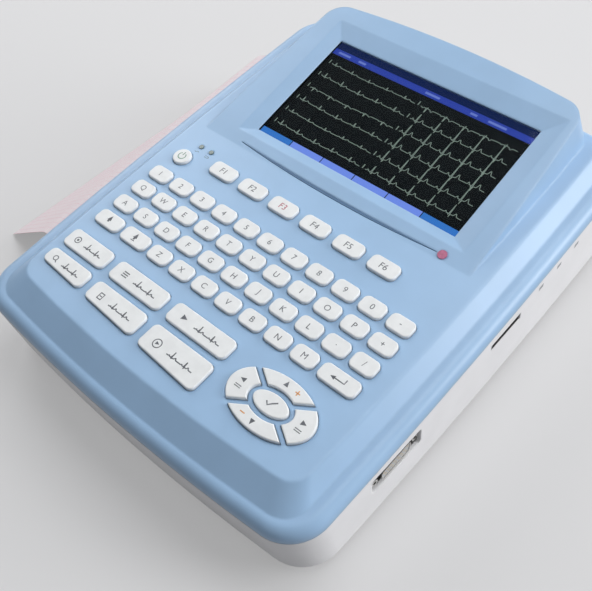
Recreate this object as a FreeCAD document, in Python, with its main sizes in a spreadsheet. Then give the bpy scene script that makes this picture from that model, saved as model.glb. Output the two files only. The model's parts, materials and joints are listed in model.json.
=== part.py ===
import FreeCAD, Part
import math
import os
import re
from types import SimpleNamespace

import Sketcher
from FreeCAD import Placement, Rotation, Vector

# Driving sizes of the machine, in millimetres, degrees and counts
SIZES = {
    # case
    "body_width": 264.0,
    "body_depth": 326.0,
    "side_bow": 2.5,
    "end_bow": 6.0,
    "corner_radius": 25.0,
    "wall": 2.5,
    "foot_height": 3.0,
    "foot_radius": 7.0,
    "foot_inset": 34.0,
    "base_round": 5.0,
    "front_lean": 6.0,
    "seam_height": 53.0,
    "deck_tilt": 2.5,
    "rim_height": 8.0,
    "rim_round": 7.0,
    "ledge_width": 9.0,
    "ledge_front": 5.5,
    "deck_rise": 15.5,
    "deck_share": 0.364,
    "deck_front_inset": 23.0,
    "deck_rear_inset": 10.0,
    "deck_corner": 12.0,
    "deck_round": 2.0,
    "boss_radius": 5.0,
    "boss_side_inset": 16.0,
    "boss_inset": 24.0,
    "boss_top": 28.0,
    "screw_radius": 1.5,
    "screw_clearance": 0.1,
    "screw_head_radius": 3.0,
    "screw_head_height": 2.4,
    "screw_seat": 10.0,
    "screw_thread": 10.0,
    # raised screen block
    "screen_slope": 8.7,
    "block_side": 8.5,
    "block_rear_inset": 10.5,
    "block_corner": 14.0,
    "block_draft": 5.0,
    "block_rear_draft": 2.0,
    "screen_x": 4.5,
    "screen_y": 18.0,
    "window_width": 154.0,
    "window_depth": 87.0,
    "window_thickness": 2.0,
    "bezel_side": 11.0,
    "bezel_front": 7.0,
    "bezel_rear": 14.0,
    "bezel_depth": 2.2,
    "panel_margin": 6.0,
    "panel_thickness": 5.5,
    "bracket_thickness": 1.2,
    "divider_x": 3.0,
    "divider_length": 153.0,
    "divider_width": 1.6,
    "divider_sag": 3.6,
    "divider_depth": 0.8,
    "divider_proud": 0.2,
    "lamp_radius": 2.8,
    "lamp_aside": 2.0,
    "lamp_proud": 0.6,
    "lamp_flange": 1.0,
    "status_radius": 1.6,
    "status_pitch": 9.0,
    "status_aside": 3.5,
    "status_share": 0.342,
    # keys
    "key_travel": 1.2,
    "key_proud": 2.0,
    "key_sink": 3.4,
    "key_gap": 0.35,
    "key_edge": 0.8,
    "key_corner": 3.6,
    "key_pitch": 19.0,
    "row_pitch": 15.2,
    "letter_width": 15.8,
    "letter_depth": 10.8,
    "keys_shift": -1.0,
    "keys_margin": 10.5,
    "rows_share": 0.172,
    "f_share": 0.236,
    "crease_share": 0.293,
    "full_rows": 3,
    "row_keys": 11,
    "last_row_keys": 7,
    "shift_width": 20.5,
    "caps_width": 21.1,
    "f_keys": 6,
    "f_width": 19.6,
    "f_depth": 11.0,
    "f_pitch": 25.4,
    "f_aside": 32.0,
    "power_key_radius": 6.2,
    "power_share": 0.525,
    "mode_aside": 1.6,
    "mode_depth": 13.4,
    "mode_gap": 4.6,
    "mode_first_width": 36.0,
    "mode_second_width": 43.0,
    "mode_third_width": 46.5,
    "mode_spacing": 6.4,
    "mode_front_depth": 10.6,
    "mode_front_slant": 0.062,
    "pad_spacing": 10.2,
    "pad_behind": 1.2,
    "pad_half_width": 28.0,
    "pad_half_depth": 17.4,
    "pad_ring_width": 14.6,
    "pad_ring_depth": 9.2,
    "pad_gap": 3.2,
    "mat_thickness": 1.0,
    "mat_drop": 0.3,
    "mat_margin": 1.1,
    "mat_inset": 10.0,
    "mat_behind": 4.5,
    "mat_corner": 8.0,
    "rail_width": 1.6,
    "rail_length": 90.0,
    "board_thickness": 1.6,
    # paper drawer and printer, placed from the tilted seam
    "paper_width": 210.0,
    "printer_share": 0.233,
    "paper_thickness": 0.3,
    "paper_reach": 71.0,
    "paper_slant": 9.0,
    "paper_curve": 25.0,
    "paper_lift": 0.3,
    "paper_gap": 0.3,
    "pack_length": 140.0,
    "pack_height": 12.0,
    "pack_clearance": 1.5,
    "drawer_wall": 2.0,
    "drawer_play": 1.0,
    "drawer_gap": 0.5,
    "slot_height": 3.4,
    "side_height": 22.0,
    "ear_half": 6.0,
    "platen_radius": 7.0,
    "platen_inset": 13.0,
    "shaft_radius": 2.0,
    "running_gap": 0.05,
    "gear_module": 0.8,
    "gear_width": 6.0,
    "gear_gap": 0.8,
    "gear_end": 2.0,
    "tooth_rise": 0.85,
    "tooth_fall": 1.15,
    "tooth_root_share": 0.34,
    "tooth_tip_share": 0.11,
    "platen_teeth": 18,
    "idler_teeth": 28,
    "pinion_teeth": 12,
    "idler_angle": -20.0,
    "pinion_angle": -50.0,
    "collar_radius": 3.5,
    "head_width": 15.0,
    "head_ahead": 6.0,
    "head_height": 4.0,
    "chassis_sheet": 1.0,
    "chassis_gap": 2.0,
    "chassis_margin": 2.5,
    "chassis_room": 2.9,
    "chassis_post_radius": 4.0,
    "chassis_post_inset": 15.0,
    "motor_radius": 12.5,
    "motor_length": 18.0,
    "motor_shaft_length": 10.0,
    "runner_width": 8.0,
    "runner_height": 1.4,
    "runner_inset": 10.0,
    "slide_gap": 0.1,
    # sockets in the right wall
    "opening_gap": 0.4,
    "socket_inset": 80.0,
    "socket_drop": 12.5,
    "socket_sink": 0.3,
    "socket_pitch": 33.3,
    "socket_flange_width": 39.1,
    "socket_flange_height": 12.5,
    "socket_flange_thickness": 1.0,
    "socket_shell_width": 25.0,
    "socket_shell_height": 8.4,
    "socket_shell_length": 6.0,
    "socket_shell_corner": 2.2,
    "socket_shell_wall": 0.5,
    "socket_shell_slant": 1.5,
    "socket_body_width": 26.0,
    "socket_body_length": 9.0,
    "contact_radius": 0.55,
    "contact_pitch": 2.74,
    "contact_row_gap": 2.84,
    "upper_contacts": 8,
    "lower_contacts": 7,
    "contact_depth": 3.0,
    "post_radius": 2.6,
    "post_length": 5.0,
    "post_thread_radius": 1.3,
    "card_ahead": 36.0,
    "card_drop": 9.5,
    "card_width": 25.0,
    "card_height": 4.4,
    "card_slot": 2.6,
    "card_wall": 1.5,
    "card_length": 28.0,
    # rear panel with mains inlet, rocker switch and ground stud
    "rear_panel_inset": 28.0,
    "rear_panel_width": 78.0,
    "rear_panel_bottom": 16.0,
    "rear_panel_height": 28.0,
    "rear_panel_depth": 6.5,
    "inlet_along": 48.0,
    "inlet_z": 30.0,
    "inlet_width": 27.0,
    "inlet_height": 19.8,
    "inlet_depth": 22.0,
    "inlet_flange": 1.8,
    "inlet_flange_thickness": 2.0,
    "inlet_wall": 1.4,
    "inlet_floor": 4.0,
    "inlet_chamfer": 4.5,
    "blade_width": 2.0,
    "blade_height": 4.0,
    "blade_pitch": 7.0,
    "blade_offset": 2.0,
    "blade_sink": 6.0,
    "rocker_along": 16.0,
    "rocker_width": 19.0,
    "rocker_height": 13.0,
    "rocker_flange": 1.0,
    "rocker_flange_thickness": 1.5,
    "rocker_wall": 1.0,
    "rocker_gap": 0.35,
    "rocker_front": 2.0,
    "rocker_depth": 14.0,
    "rocker_throw": 10.0,
    "stud_along": 71.0,
    "stud_radius": 3.0,
    "stud_length": 6.0,
    "stud_collar": 4.6,
    "stud_nut": 5.5,
    "stud_nut_height": 3.0,
    # boards, battery and speaker
    "board_inset": 12.0,
    "board_width": 72.0,
    "board_post_radius": 3.0,
    "board_post_inset": 5.0,
    "front_end_inset": 35.0,
    "front_end_depth": 88.0,
    "main_depth": 92.0,
    "power_board_side": 10.0,
    "power_board_width": 80.0,
    "power_board_rear": 33.0,
    "power_board_depth": 42.0,
    "power_board_top": 14.0,
    "chip_width": 14.0,
    "chip_height": 1.6,
    "shield_length": 40.0,
    "shield_width": 34.0,
    "shield_height": 6.0,
    "transformer_length": 28.0,
    "transformer_width": 24.0,
    "transformer_height": 20.0,
    "capacitor_radius": 6.0,
    "capacitor_height": 18.0,
    "heat_sink_length": 26.0,
    "heat_sink_width": 6.0,
    "heat_sink_height": 16.0,
    "battery_inset": 2.0,
    "battery_width": 66.0,
    "battery_depth": 72.0,
    "battery_height": 20.0,
    "battery_gap": 0.5,
    "hatch_margin": 5.0,
    "hatch_thickness": 1.5,
    "speaker_ahead": 53.0,
    "speaker_radius": 14.0,
    "speaker_height": 4.0,
    "magnet_radius": 9.0,
    "magnet_height": 5.0,
    "grille_radius": 1.5,
    "grille_pitch": 6.0,
    "grille_holes": 6,
}

doc = FreeCAD.newDocument("ecg_machine")
sheet = doc.addObject("Spreadsheet::Sheet", "Sizes")
for row, (alias, number) in enumerate(SIZES.items(), start=1):
    sheet.set(f"A{row}", alias)
    sheet.set(f"B{row}", str(number))
    sheet.setAlias(f"B{row}", alias)
doc.recompute()
size = SimpleNamespace(**{alias: float(sheet.get(alias)) for alias in SIZES})

# Places of the case that follow from the sizes
half_width = size.body_width / 2
half_depth = size.body_depth / 2
body_x = size.paper_reach / 2
floor_z = size.foot_height + size.wall
tilt = math.radians(size.deck_tilt)
slope = math.radians(size.screen_slope)
tall = 2 * (size.seam_height + size.deck_rise)
wide = size.body_width + size.body_depth
boss_x = half_width - size.boss_side_inset
boss_y = half_depth - size.boss_inset
rear_panel_y = half_depth - size.rear_panel_depth
rear_panel_left = half_width - size.rear_panel_inset - size.rear_panel_width
inlet_x = rear_panel_left + size.inlet_along
rocker_x = rear_panel_left + size.rocker_along
stud_x = rear_panel_left + size.stud_along

# Widths of the key field; the deck takes a share of the room beside it, the slopes take the rest
key_space = size.key_pitch - size.letter_width
rows_width = size.row_keys * size.key_pitch - key_space
mode_width = size.mode_first_width + size.mode_second_width + size.mode_third_width + 2 * size.mode_spacing
field_width = max(rows_width, mode_width + size.pad_spacing + 2 * size.pad_half_width)
deck_half = (field_width + size.deck_share * (size.body_width - field_width)) / 2
field_left = size.keys_shift - field_width / 2
keys_x = field_left + size.letter_width / 2
f_x = keys_x + size.f_aside
mode_x = field_left - size.mode_aside
pad_x = mode_x + mode_width + size.pad_spacing + size.pad_half_width
mat_half_width = field_width / 2 + abs(size.keys_shift) + size.mat_margin
status_x = keys_x + size.status_aside
block_half = size.window_width / 2 + size.bezel_side + size.screen_x + size.block_side
lamp_x = size.screen_x + size.window_width / 2 + size.lamp_aside

# Depths from the front: key rows and screen have their own depths, the gaps share out the free depth
deck_front = -half_depth + size.deck_front_inset
deck_rear = half_depth - size.deck_rear_inset
rows_depth = size.full_rows * size.row_pitch + size.letter_depth
mode_block_depth = size.mode_front_depth + size.mode_front_slant * mode_width + size.mode_gap + size.mode_depth
screen_depth = (size.screen_y + size.window_depth + size.bezel_rear) * math.cos(slope)
free_depth = (size.body_depth - size.deck_front_inset - size.keys_margin - mode_block_depth - rows_depth
              - size.f_depth - screen_depth - size.block_rear_inset)
mode_y = deck_front + size.keys_margin + mode_block_depth
pad_y = mode_y + size.pad_behind - size.pad_half_depth
rows_rear = mode_y + size.rows_share * free_depth + rows_depth
keys_y = rows_rear - size.letter_depth / 2
f_rear = rows_rear + size.f_share * free_depth + size.f_depth
f_y = f_rear - size.f_depth / 2
screen_start = f_rear + size.crease_share * free_depth
power_key_y = rows_rear + size.power_share * size.f_share * free_depth + size.power_key_radius
power_key_rear = power_key_y + size.power_key_radius
status_y = power_key_rear + size.status_share * (screen_start - power_key_rear)
mat_front = deck_front + size.mat_inset
mat_rear = f_rear + size.mat_behind
block_rear = half_depth - size.block_rear_inset

# Places of the key stack, from the deck downwards
key_bottom = size.deck_rise - size.key_sink
mat_bottom = key_bottom - size.key_travel - size.mat_drop - size.mat_thickness

# Places of the printer along the roller; it takes its share of the room left between the screw posts,
# which stand upright while it is tilted with the deck
lean = size.seam_height * math.sin(tilt)
gear_room = size.gear_gap + size.gear_width + size.gear_end
printer_span = (size.paper_width + 2 * size.drawer_wall + 3 * size.drawer_play + gear_room
                + 2 * size.chassis_gap + 2 * size.chassis_sheet)
printer_free = size.body_depth - printer_span - 2 * (size.boss_inset + size.boss_radius) - lean
chassis_high = boss_y - size.boss_radius - lean - size.printer_share * printer_free - size.chassis_sheet
front_high = chassis_high - size.chassis_gap
gear_high = front_high - size.gear_end
gear_low = gear_high - size.gear_width
side_high = gear_low - size.gear_gap
side_low = side_high - size.paper_width - 2 * size.drawer_play - 2 * size.drawer_wall
paper_y = (side_low + side_high) / 2
front_low = side_low - size.drawer_play
chassis_low = front_low - size.chassis_gap

# Places of the drawer and printer from left to right and from the floor upwards, in the deck's frame
chassis_left = -half_width + size.wall + size.side_bow + size.chassis_margin
pack_left = -half_width + size.wall + size.side_bow + size.pack_clearance
tray_right = pack_left + size.pack_length + size.drawer_play + size.drawer_wall
chassis_right = tray_right + size.chassis_margin
corner_drop = (chassis_low - size.chassis_sheet) * math.sin(tilt)
chassis_bottom = (floor_z + size.chassis_room - size.seam_height - corner_drop) / math.cos(tilt)
drawer_bottom = chassis_bottom + size.chassis_sheet + size.runner_height + size.slide_gap
front_bottom = drawer_bottom - size.runner_height
pack_top = drawer_bottom + size.drawer_wall + size.pack_height
paper_level = -size.slot_height + size.drawer_gap
axis_u = -half_width + size.platen_inset
axis_w = paper_level - size.paper_gap - size.platen_radius
head_bottom = paper_level + size.paper_thickness + size.paper_gap
chassis_top = head_bottom + size.head_height

# Places of the boards; the main board lies halfway between the other two
board_left = half_width - size.board_inset - size.board_width
front_end_front = -half_depth + size.front_end_inset
power_board_left = half_width - size.power_board_side - size.power_board_width
power_board_front = half_depth - size.power_board_rear - size.power_board_depth
main_y = (front_end_front + size.front_end_depth + power_board_front) / 2
main_front = main_y - size.main_depth / 2
battery_left = half_width - size.board_inset - size.battery_inset - size.battery_width
speaker_x = board_left + size.board_width / 2
speaker_y = front_end_front + size.speaker_ahead
socket_y = -half_depth + size.socket_inset
card_y = main_front + size.card_ahead

# Spans along the roller, as sums over the sheet
TRAY_SPAN = "paper_width + 2 * drawer_play + 2 * drawer_wall"
FRONT_SPAN = TRAY_SPAN + " + drawer_play + gear_gap + gear_width + gear_end"
CHASSIS_SPAN = FRONT_SPAN + " + 2 * chassis_gap"

# Width of the last wide key: what the other keys of its row leave
ENTER_WIDTH = "(row_keys - last_row_keys - 3) * key_pitch + 3 * letter_width - shift_width - caps_width"

BODY = Placement(Vector(body_x, 0, 0), Rotation())
DECK = Placement(Vector(body_x, 0, size.seam_height), Rotation(Vector(1, 0, 0), size.deck_tilt))
SLOPE = DECK.multiply(Placement(Vector(0, screen_start, size.deck_rise),
                                Rotation(Vector(1, 0, 0), size.screen_slope)))
subparts = []

# Sides of a hexagon, and the cosine above which a face counts as level
HEX_SIDES = 6
LEVEL = 0.99


# Helpers

def formula(text):
    """A sum over size names, written out with the sheet's name before each of them."""
    return re.sub(r"[a-z_]\w*", lambda word: "Sizes." + word.group(), text)


def bind(item, **formulas):
    """Tie properties of an object to the sheet."""
    for name, text in formulas.items():
        item.setExpression(name, formula(text))


def keep(item):
    """Note an object as a sub-part, under the label it has."""
    subparts.append(item)
    return item


def at(frame, x, y, z):
    """A place given in one of the frames."""
    return frame.multiply(Placement(Vector(x, y, z), Rotation()))


def to_back(frame, x, y, z):
    """A place whose third axis runs to the back, its second one down."""
    return frame.multiply(Placement(Vector(x, y, z), Rotation(Vector(1, 0, 0), -90)))


def to_right(frame, x, y, z):
    """A place whose third axis runs to the right, its first one down."""
    return frame.multiply(Placement(Vector(x, y, z), Rotation(Vector(0, 1, 0), 90)))


def block(name, length, width, height, place):
    """A box whose three sizes are sums over the sheet."""
    item = doc.addObject("Part::Box", name)
    bind(item, Length=length, Width=width, Height=height)
    item.Placement = place
    return item


def rod(name, radius, length, place):
    """A cylinder along the third axis of its place."""
    item = doc.addObject("Part::Cylinder", name)
    bind(item, Radius=radius, Height=length)
    item.Placement = place
    return item


def join(name, *items):
    """Several objects fused into one."""
    item = doc.addObject("Part::MultiFuse", name)
    item.Shapes = list(items)
    item.Refine = True
    return item


def cut(name, base, tool):
    """One object cut out of another."""
    item = doc.addObject("Part::Cut", name)
    item.Base = base
    item.Tool = tool
    return item


def group(name, items):
    """Several like objects as one sub-part of separate solids."""
    item = doc.addObject("Part::Compound", name)
    item.Links = list(items)
    return item


def solid(name, shape, place=Placement()):
    """A shape worked out here, as an object with a place."""
    item = doc.addObject("Part::Feature", name)
    item.Shape = shape
    item.Placement = place
    return item


def placed(shape, frame):
    """A copy of a shape, moved from a frame into the part's own frame."""
    copy = shape.copy()
    copy.Placement = frame.multiply(copy.Placement)
    return copy


def box_shape(low, high):
    """A box between two corners."""
    return Part.makeBox(high[0] - low[0], high[1] - low[1], high[2] - low[2], Vector(*low))


def column(radius, x, y, low, high):
    """An upright cylinder of the case, from one height to another."""
    return Part.makeCylinder(radius, high - low, Vector(body_x + x, y, low))


def filled(points):
    """A flat face inside a closed row of points."""
    return Part.Face(Part.makePolygon(points + points[:1]))


def softened(face, radius):
    """A flat face whose outward corners are rounded by an offset in and out again."""
    return face.makeOffset2D(-radius).makeOffset2D(radius)


def plate_shape(low, high, bottom, thickness, radius):
    """A flat plate with rounded corners, between two plan corners."""
    corners = [Vector(low[0], low[1], bottom), Vector(high[0], low[1], bottom),
               Vector(high[0], high[1], bottom), Vector(low[0], high[1], bottom)]
    return softened(filled(corners), radius).extrude(Vector(0, 0, thickness))


def slab(first, second, thickness, radius):
    """A rounded plate centred on its place."""
    return plate_shape((-first / 2, -second / 2), (first / 2, second / 2), 0, thickness, radius)


def hexagon(radius, height):
    """A six-sided prism on its place."""
    turns = [2 * math.pi * i / HEX_SIDES for i in range(HEX_SIDES)]
    points = [Vector(radius * math.cos(turn), radius * math.sin(turn), 0) for turn in turns]
    return filled(points).extrude(Vector(0, 0, height))


def rounded(shape, radius, chosen):
    """A shape with the chosen edges rounded."""
    return shape.makeFillet(radius, [edge for edge in shape.Edges if chosen(edge)])


def level_edge(height):
    """A test for edges that lie at one height."""
    def test(edge):
        box = edge.BoundBox
        return abs(box.ZMin - height) < 1e-4 and abs(box.ZMax - height) < 1e-4
    return test


# Form of the case

def outline(half, front, rear, corner, height):
    """A rounded rectangle with bowed sides: four arcs, their corners rounded."""
    left = -half + size.side_bow
    right = half - size.side_bow
    low = front + size.end_bow
    high = rear - size.end_bow
    middle = (front + rear) / 2
    corners = [Vector(left, low, height), Vector(right, low, height),
               Vector(right, high, height), Vector(left, high, height)]
    crowns = [Vector(0, front, height), Vector(half, middle, height),
              Vector(0, rear, height), Vector(-half, middle, height)]
    arcs = [Part.Arc(corners[i], crowns[i], corners[(i + 1) % 4]).toShape() for i in range(4)]
    return softened(Part.Face(Part.Wire(arcs)), corner).OuterWire


def wall_outline(inset, height):
    """The case's outline, moved inwards by a distance."""
    return outline(half_width - inset, -half_depth + inset, half_depth - inset,
                   size.corner_radius - inset, height)


def wall_x(y):
    """How far out the bowed right wall stands at a depth."""
    return half_width - size.side_bow * (y / (half_depth - size.end_bow)) ** 2


def seam_z(y):
    """Height of the seam between base and cover above the table."""
    return size.seam_height + y * math.tan(tilt)


def prism(wire, height):
    """A wire filled and raised."""
    return Part.Face(wire).extrude(Vector(0, 0, height))


def slope_space(drop):
    """Everything below the screen's sloping plane, in the deck's frame."""
    space = box_shape((-wide, -wide, -wide), (wide, wide, -drop))
    space.Placement = Placement(Vector(0, screen_start, size.deck_rise),
                                Rotation(Vector(1, 0, 0), size.screen_slope))
    return space


def screen_block(inset, drop):
    """The raised block under the screen: a drafted frustum below the sloping plane."""
    half = block_half + size.block_draft - inset
    rear = block_rear + size.block_rear_draft - inset
    front = screen_start - size.body_depth / 4
    top = size.deck_rise + math.tan(slope) * size.body_depth
    share = (top - size.deck_rise) / size.deck_rise
    foot = outline(half, front, rear, size.block_corner, size.rim_height - drop)
    crown = outline(half - share * size.block_draft, front, rear - share * size.block_rear_draft,
                    size.block_corner, top)
    return Part.makeLoft([foot, crown], True, True).common(slope_space(drop))


def cover_solid(inset, drop):
    """The cover's outer form, or with an inset and a drop the hollow inside it."""
    rim_top = size.rim_height - drop
    deck_top = size.deck_rise - drop
    rim = prism(wall_outline(inset, -inset), rim_top + inset)
    ledge = size.ledge_width + inset
    foot = outline(half_width - ledge, -half_depth + size.ledge_front + inset, half_depth - ledge,
                   size.corner_radius - ledge, rim_top - size.wall / 2)
    crown = outline(deck_half - inset, deck_front + inset, deck_rear - inset,
                    size.deck_corner, deck_top)
    deck = Part.makeLoft([foot, crown], True, True)
    rim = rounded(rim, size.rim_round - inset, level_edge(rim_top))
    if inset == 0:
        deck = rounded(deck, size.deck_round, level_edge(deck_top))
    return rim.fuse([deck, screen_block(inset, drop)]).removeSplitter()


def base_form(inset, bottom):
    """The base's form, past the seam: upright sides and rear, and a front that leans in below the seam."""
    def level(height):
        lean = math.tan(math.radians(size.front_lean)) * (seam_z(-half_depth) - height)
        return outline(half_width - inset, -half_depth + inset + lean, half_depth - inset,
                       size.corner_radius - inset, height)
    return Part.makeLoft([level(bottom), level(tall)], True, True)


def base_outer():
    """The base's outer form, filled, up to the tilted seam."""
    form = rounded(base_form(0, size.foot_height), size.base_round, level_edge(size.foot_height))
    above = placed(box_shape((-wide, -wide, 0), (wide, wide, tall)), DECK)
    return placed(form, BODY).cut(above)


def base_shell():
    """The base's outer form, hollowed to its wall."""
    return base_outer().cut(placed(base_form(size.wall, floor_z), BODY))


# Keys

def new_sketch(body):
    """A sketch on the ground plane of a body."""
    sketch = body.newObject("Sketcher::SketchObject", body.Name + "_outline")
    plane = [item for item in body.Origin.OriginFeatures if item.Role == "XY_Plane"][0]
    sketch.AttachmentSupport = (plane, [""])
    sketch.MapMode = "FlatFace"
    return sketch


def raise_cap(body, sketch, cornered):
    """Pad a key's outline to its height, and round its upright corners and its top."""
    pad = body.newObject("PartDesign::Pad", body.Name + "_cap")
    pad.Profile = sketch
    bind(pad, Length="key_sink + key_proud")
    doc.recompute()
    base = pad
    if cornered:
        upright = [f"Edge{i}" for i, edge in enumerate(pad.Shape.Edges, start=1)
                   if edge.BoundBox.ZLength > size.key_sink]
        base = body.newObject("PartDesign::Fillet", body.Name + "_corners")
        base.Base = (pad, upright)
        bind(base, Radius="key_corner")
        doc.recompute()
    on_top = level_edge(size.key_sink + size.key_proud)
    top = [f"Edge{i}" for i, edge in enumerate(base.Shape.Edges, start=1) if on_top(edge)]
    rim = body.newObject("PartDesign::Fillet", body.Name + "_edge")
    rim.Base = (base, top)
    bind(rim, Radius="key_edge")
    doc.recompute()


def slanted_key(name, left, rear, width, left_depth, right_depth):
    """A key with a straight rear edge and a front edge that may slant, from its rear left corner."""
    body = doc.addObject("PartDesign::Body", name)
    sketch = new_sketch(body)
    first_width = size.letter_width
    first_depth = size.letter_depth
    points = [Vector(0, 0), Vector(first_width, 0), Vector(first_width, -first_depth), Vector(0, -first_depth)]
    for i in range(4):
        sketch.addGeometry(Part.LineSegment(points[i], points[(i + 1) % 4]))
    for i in range(4):
        sketch.addConstraint(Sketcher.Constraint("Coincident", i, 2, (i + 1) % 4, 1))
    sketch.addConstraint(Sketcher.Constraint("Coincident", 0, 1, -1, 1))
    sketch.addConstraint(Sketcher.Constraint("Horizontal", 0))
    sketch.addConstraint(Sketcher.Constraint("Vertical", 1))
    sketch.addConstraint(Sketcher.Constraint("Vertical", 3))
    across = sketch.addConstraint(Sketcher.Constraint("DistanceX", 0, 1, 0, 2, first_width))
    right_side = sketch.addConstraint(Sketcher.Constraint("DistanceY", 1, 2, 1, 1, first_depth))
    left_side = sketch.addConstraint(Sketcher.Constraint("DistanceY", 3, 1, 3, 2, first_depth))
    sketch.setExpression(f"Constraints[{across}]", formula(width))
    sketch.setExpression(f"Constraints[{right_side}]", formula(right_depth))
    sketch.setExpression(f"Constraints[{left_side}]", formula(left_depth))
    raise_cap(body, sketch, True)
    body.Placement = at(DECK, left, rear, key_bottom)
    return body


def square_key(name, left, rear, width, depth):
    """A key with right-angled sides."""
    return slanted_key(name, left, rear, width, depth, depth)


def round_key(name, x, y):
    """The round power key."""
    body = doc.addObject("PartDesign::Body", name)
    sketch = new_sketch(body)
    sketch.addGeometry(Part.Circle(Vector(0, 0), Vector(0, 0, 1), size.power_key_radius))
    sketch.addConstraint(Sketcher.Constraint("Coincident", 0, 3, -1, 1))
    radius = sketch.addConstraint(Sketcher.Constraint("Radius", 0, size.power_key_radius))
    sketch.setExpression(f"Constraints[{radius}]", formula("power_key_radius"))
    raise_cap(body, sketch, False)
    body.Placement = at(DECK, x, y, key_bottom)
    return body


def copies(pattern, places):
    """Copies of a key, moved across the deck from where the pattern stands."""
    shapes = []
    for x, y in places:
        shape = pattern.Shape.copy()
        shape.translate(DECK.Rotation.multVec(Vector(x, y, 0)))
        shapes.append(shape)
    return shapes


def letter_keys():
    """The four rows of letter and number keys, each row one sub-part of separate caps."""
    left = keys_x - size.letter_width / 2
    rear = keys_y + size.letter_depth / 2
    pattern = square_key("letter_key", left, rear, "letter_width", "letter_depth")
    for row in range(int(size.full_rows)):
        places = [(i * size.key_pitch, -row * size.row_pitch) for i in range(int(size.row_keys))]
        keep(solid(f"keys_row_{row + 1}", Part.makeCompound(copies(pattern, places))))
    last_rear = rear - size.full_rows * size.row_pitch
    caps_left = left + size.shift_width + key_space
    letters_left = caps_left + size.caps_width + key_space
    enter_left = letters_left + size.last_row_keys * size.key_pitch
    wide_keys = [square_key("shift_key", left, last_rear, "shift_width", "letter_depth"),
                 square_key("caps_key", caps_left, last_rear, "caps_width", "letter_depth"),
                 square_key("enter_key", enter_left, last_rear, ENTER_WIDTH, "letter_depth")]
    places = [(letters_left - left + i * size.key_pitch, last_rear - rear)
              for i in range(int(size.last_row_keys))]
    shapes = [key.Shape.copy() for key in wide_keys] + copies(pattern, places)
    keep(solid("keys_row_4", Part.makeCompound(shapes)))


def function_keys():
    """Six keys in a row below the screen, and the round power key."""
    for i in range(int(size.f_keys)):
        left = f_x + i * size.f_pitch - size.f_width / 2
        keep(square_key(f"f_key_{i + 1}", left, f_y + size.f_depth / 2, "f_width", "f_depth"))
    keep(round_key("power_key", keys_x, power_key_y))


def mode_keys():
    """Two rows of three large keys that widen to the right; the front row's front edge slants."""
    widths = ["mode_first_width", "mode_second_width", "mode_third_width"]
    front_rear = mode_y - size.mode_depth - size.mode_gap
    start = "0"
    left = mode_x
    for i, width in enumerate(widths):
        keep(square_key(f"mode_key_{i + 1}", left, mode_y, width, "mode_depth"))
        near = f"mode_front_depth + mode_front_slant * ({start})"
        far = f"mode_front_depth + mode_front_slant * ({start} + {width})"
        keep(slanted_key(f"mode_key_{i + 4}", left, front_rear, width, near, far))
        left += getattr(size, width) + size.mode_spacing
        start = f"{start} + {width} + mode_spacing"


def ellipse_face(half_long, half_short):
    """A filled ellipse about the pad's centre."""
    return Part.Face(Part.Wire([Part.Ellipse(Vector(0, 0, 0), half_long, half_short).toShape()]))


def pad_outlines(grow, height):
    """The arrow pad, grown by a gap and raised: an oval ring cut by two diagonal gaps, and an oval inside it."""
    ring = ellipse_face(size.pad_half_width + grow, size.pad_half_depth + grow)
    ring = ring.cut(ellipse_face(size.pad_ring_width - grow, size.pad_ring_depth - grow))
    ring = ring.extrude(Vector(0, 0, height))
    half_gap = size.pad_gap / 2 - grow
    angle = math.degrees(math.atan2(size.pad_half_depth, size.pad_half_width))
    long = 2 * size.pad_half_width
    strip = box_shape((-long, -half_gap, -height), (long, half_gap, 2 * height))
    for turn in (angle, -angle):
        gap = strip.copy()
        gap.rotate(Vector(0, 0, 0), Vector(0, 0, 1), turn)
        ring = ring.cut(gap)
    inset = size.pad_gap - grow
    middle = ellipse_face(size.pad_ring_width - inset, size.pad_ring_depth - inset)
    return ring.Solids, middle.extrude(Vector(0, 0, height))


def pad_keys():
    """The four arrow keys of the pad, two of them mirrored, and the oval key in the middle."""
    height = size.key_sink + size.key_proud
    ring, middle = pad_outlines(0, height)
    on_top = level_edge(height)
    right = rounded(max(ring, key=lambda piece: piece.CenterOfMass.x), size.key_edge, on_top)
    down = rounded(min(ring, key=lambda piece: piece.CenterOfMass.y), size.key_edge, on_top)
    centre = Vector(0, 0, 0)
    shapes = {"right_key": right, "left_key": right.mirror(centre, Vector(1, 0, 0)),
              "down_key": down, "up_key": down.mirror(centre, Vector(0, 1, 0)),
              "ok_key": rounded(middle, size.key_edge, on_top)}
    for name, shape in shapes.items():
        keep(solid(name, shape, at(DECK, pad_x, pad_y, key_bottom)))


def key_holes(keys):
    """Tools that cut each key's own outline, with a gap, through the deck."""
    up = DECK.Rotation.multVec(Vector(0, 0, 1))
    reach = size.key_sink + size.key_proud
    tools = []
    for key in keys:
        for face in key.Shape.Faces:
            if face.normalAt(0, 0).dot(up) < -LEVEL:
                tools.append(face.makeOffset2D(size.key_gap).extrude(up * reach))
    ring, middle = pad_outlines(size.key_gap, reach)
    place = at(DECK, pad_x, pad_y, key_bottom)
    return tools + [placed(tool, place) for tool in ring + [middle]]


def key_stack():
    """The rubber mat under the keys and the board that it lies on."""
    low = (-mat_half_width, mat_front)
    high = (mat_half_width, mat_rear)
    mat = plate_shape(low, high, mat_bottom, size.mat_thickness, size.mat_corner)
    keep(solid("keypad_mat", mat, DECK))
    low = (-mat_half_width, mat_front - size.rail_width)
    high = (mat_half_width, mat_rear + size.rail_width)
    board = plate_shape(low, high, mat_bottom - size.board_thickness, size.board_thickness, size.mat_corner)
    keep(solid("key_board", board, DECK))


# Top cover and screen

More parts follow.
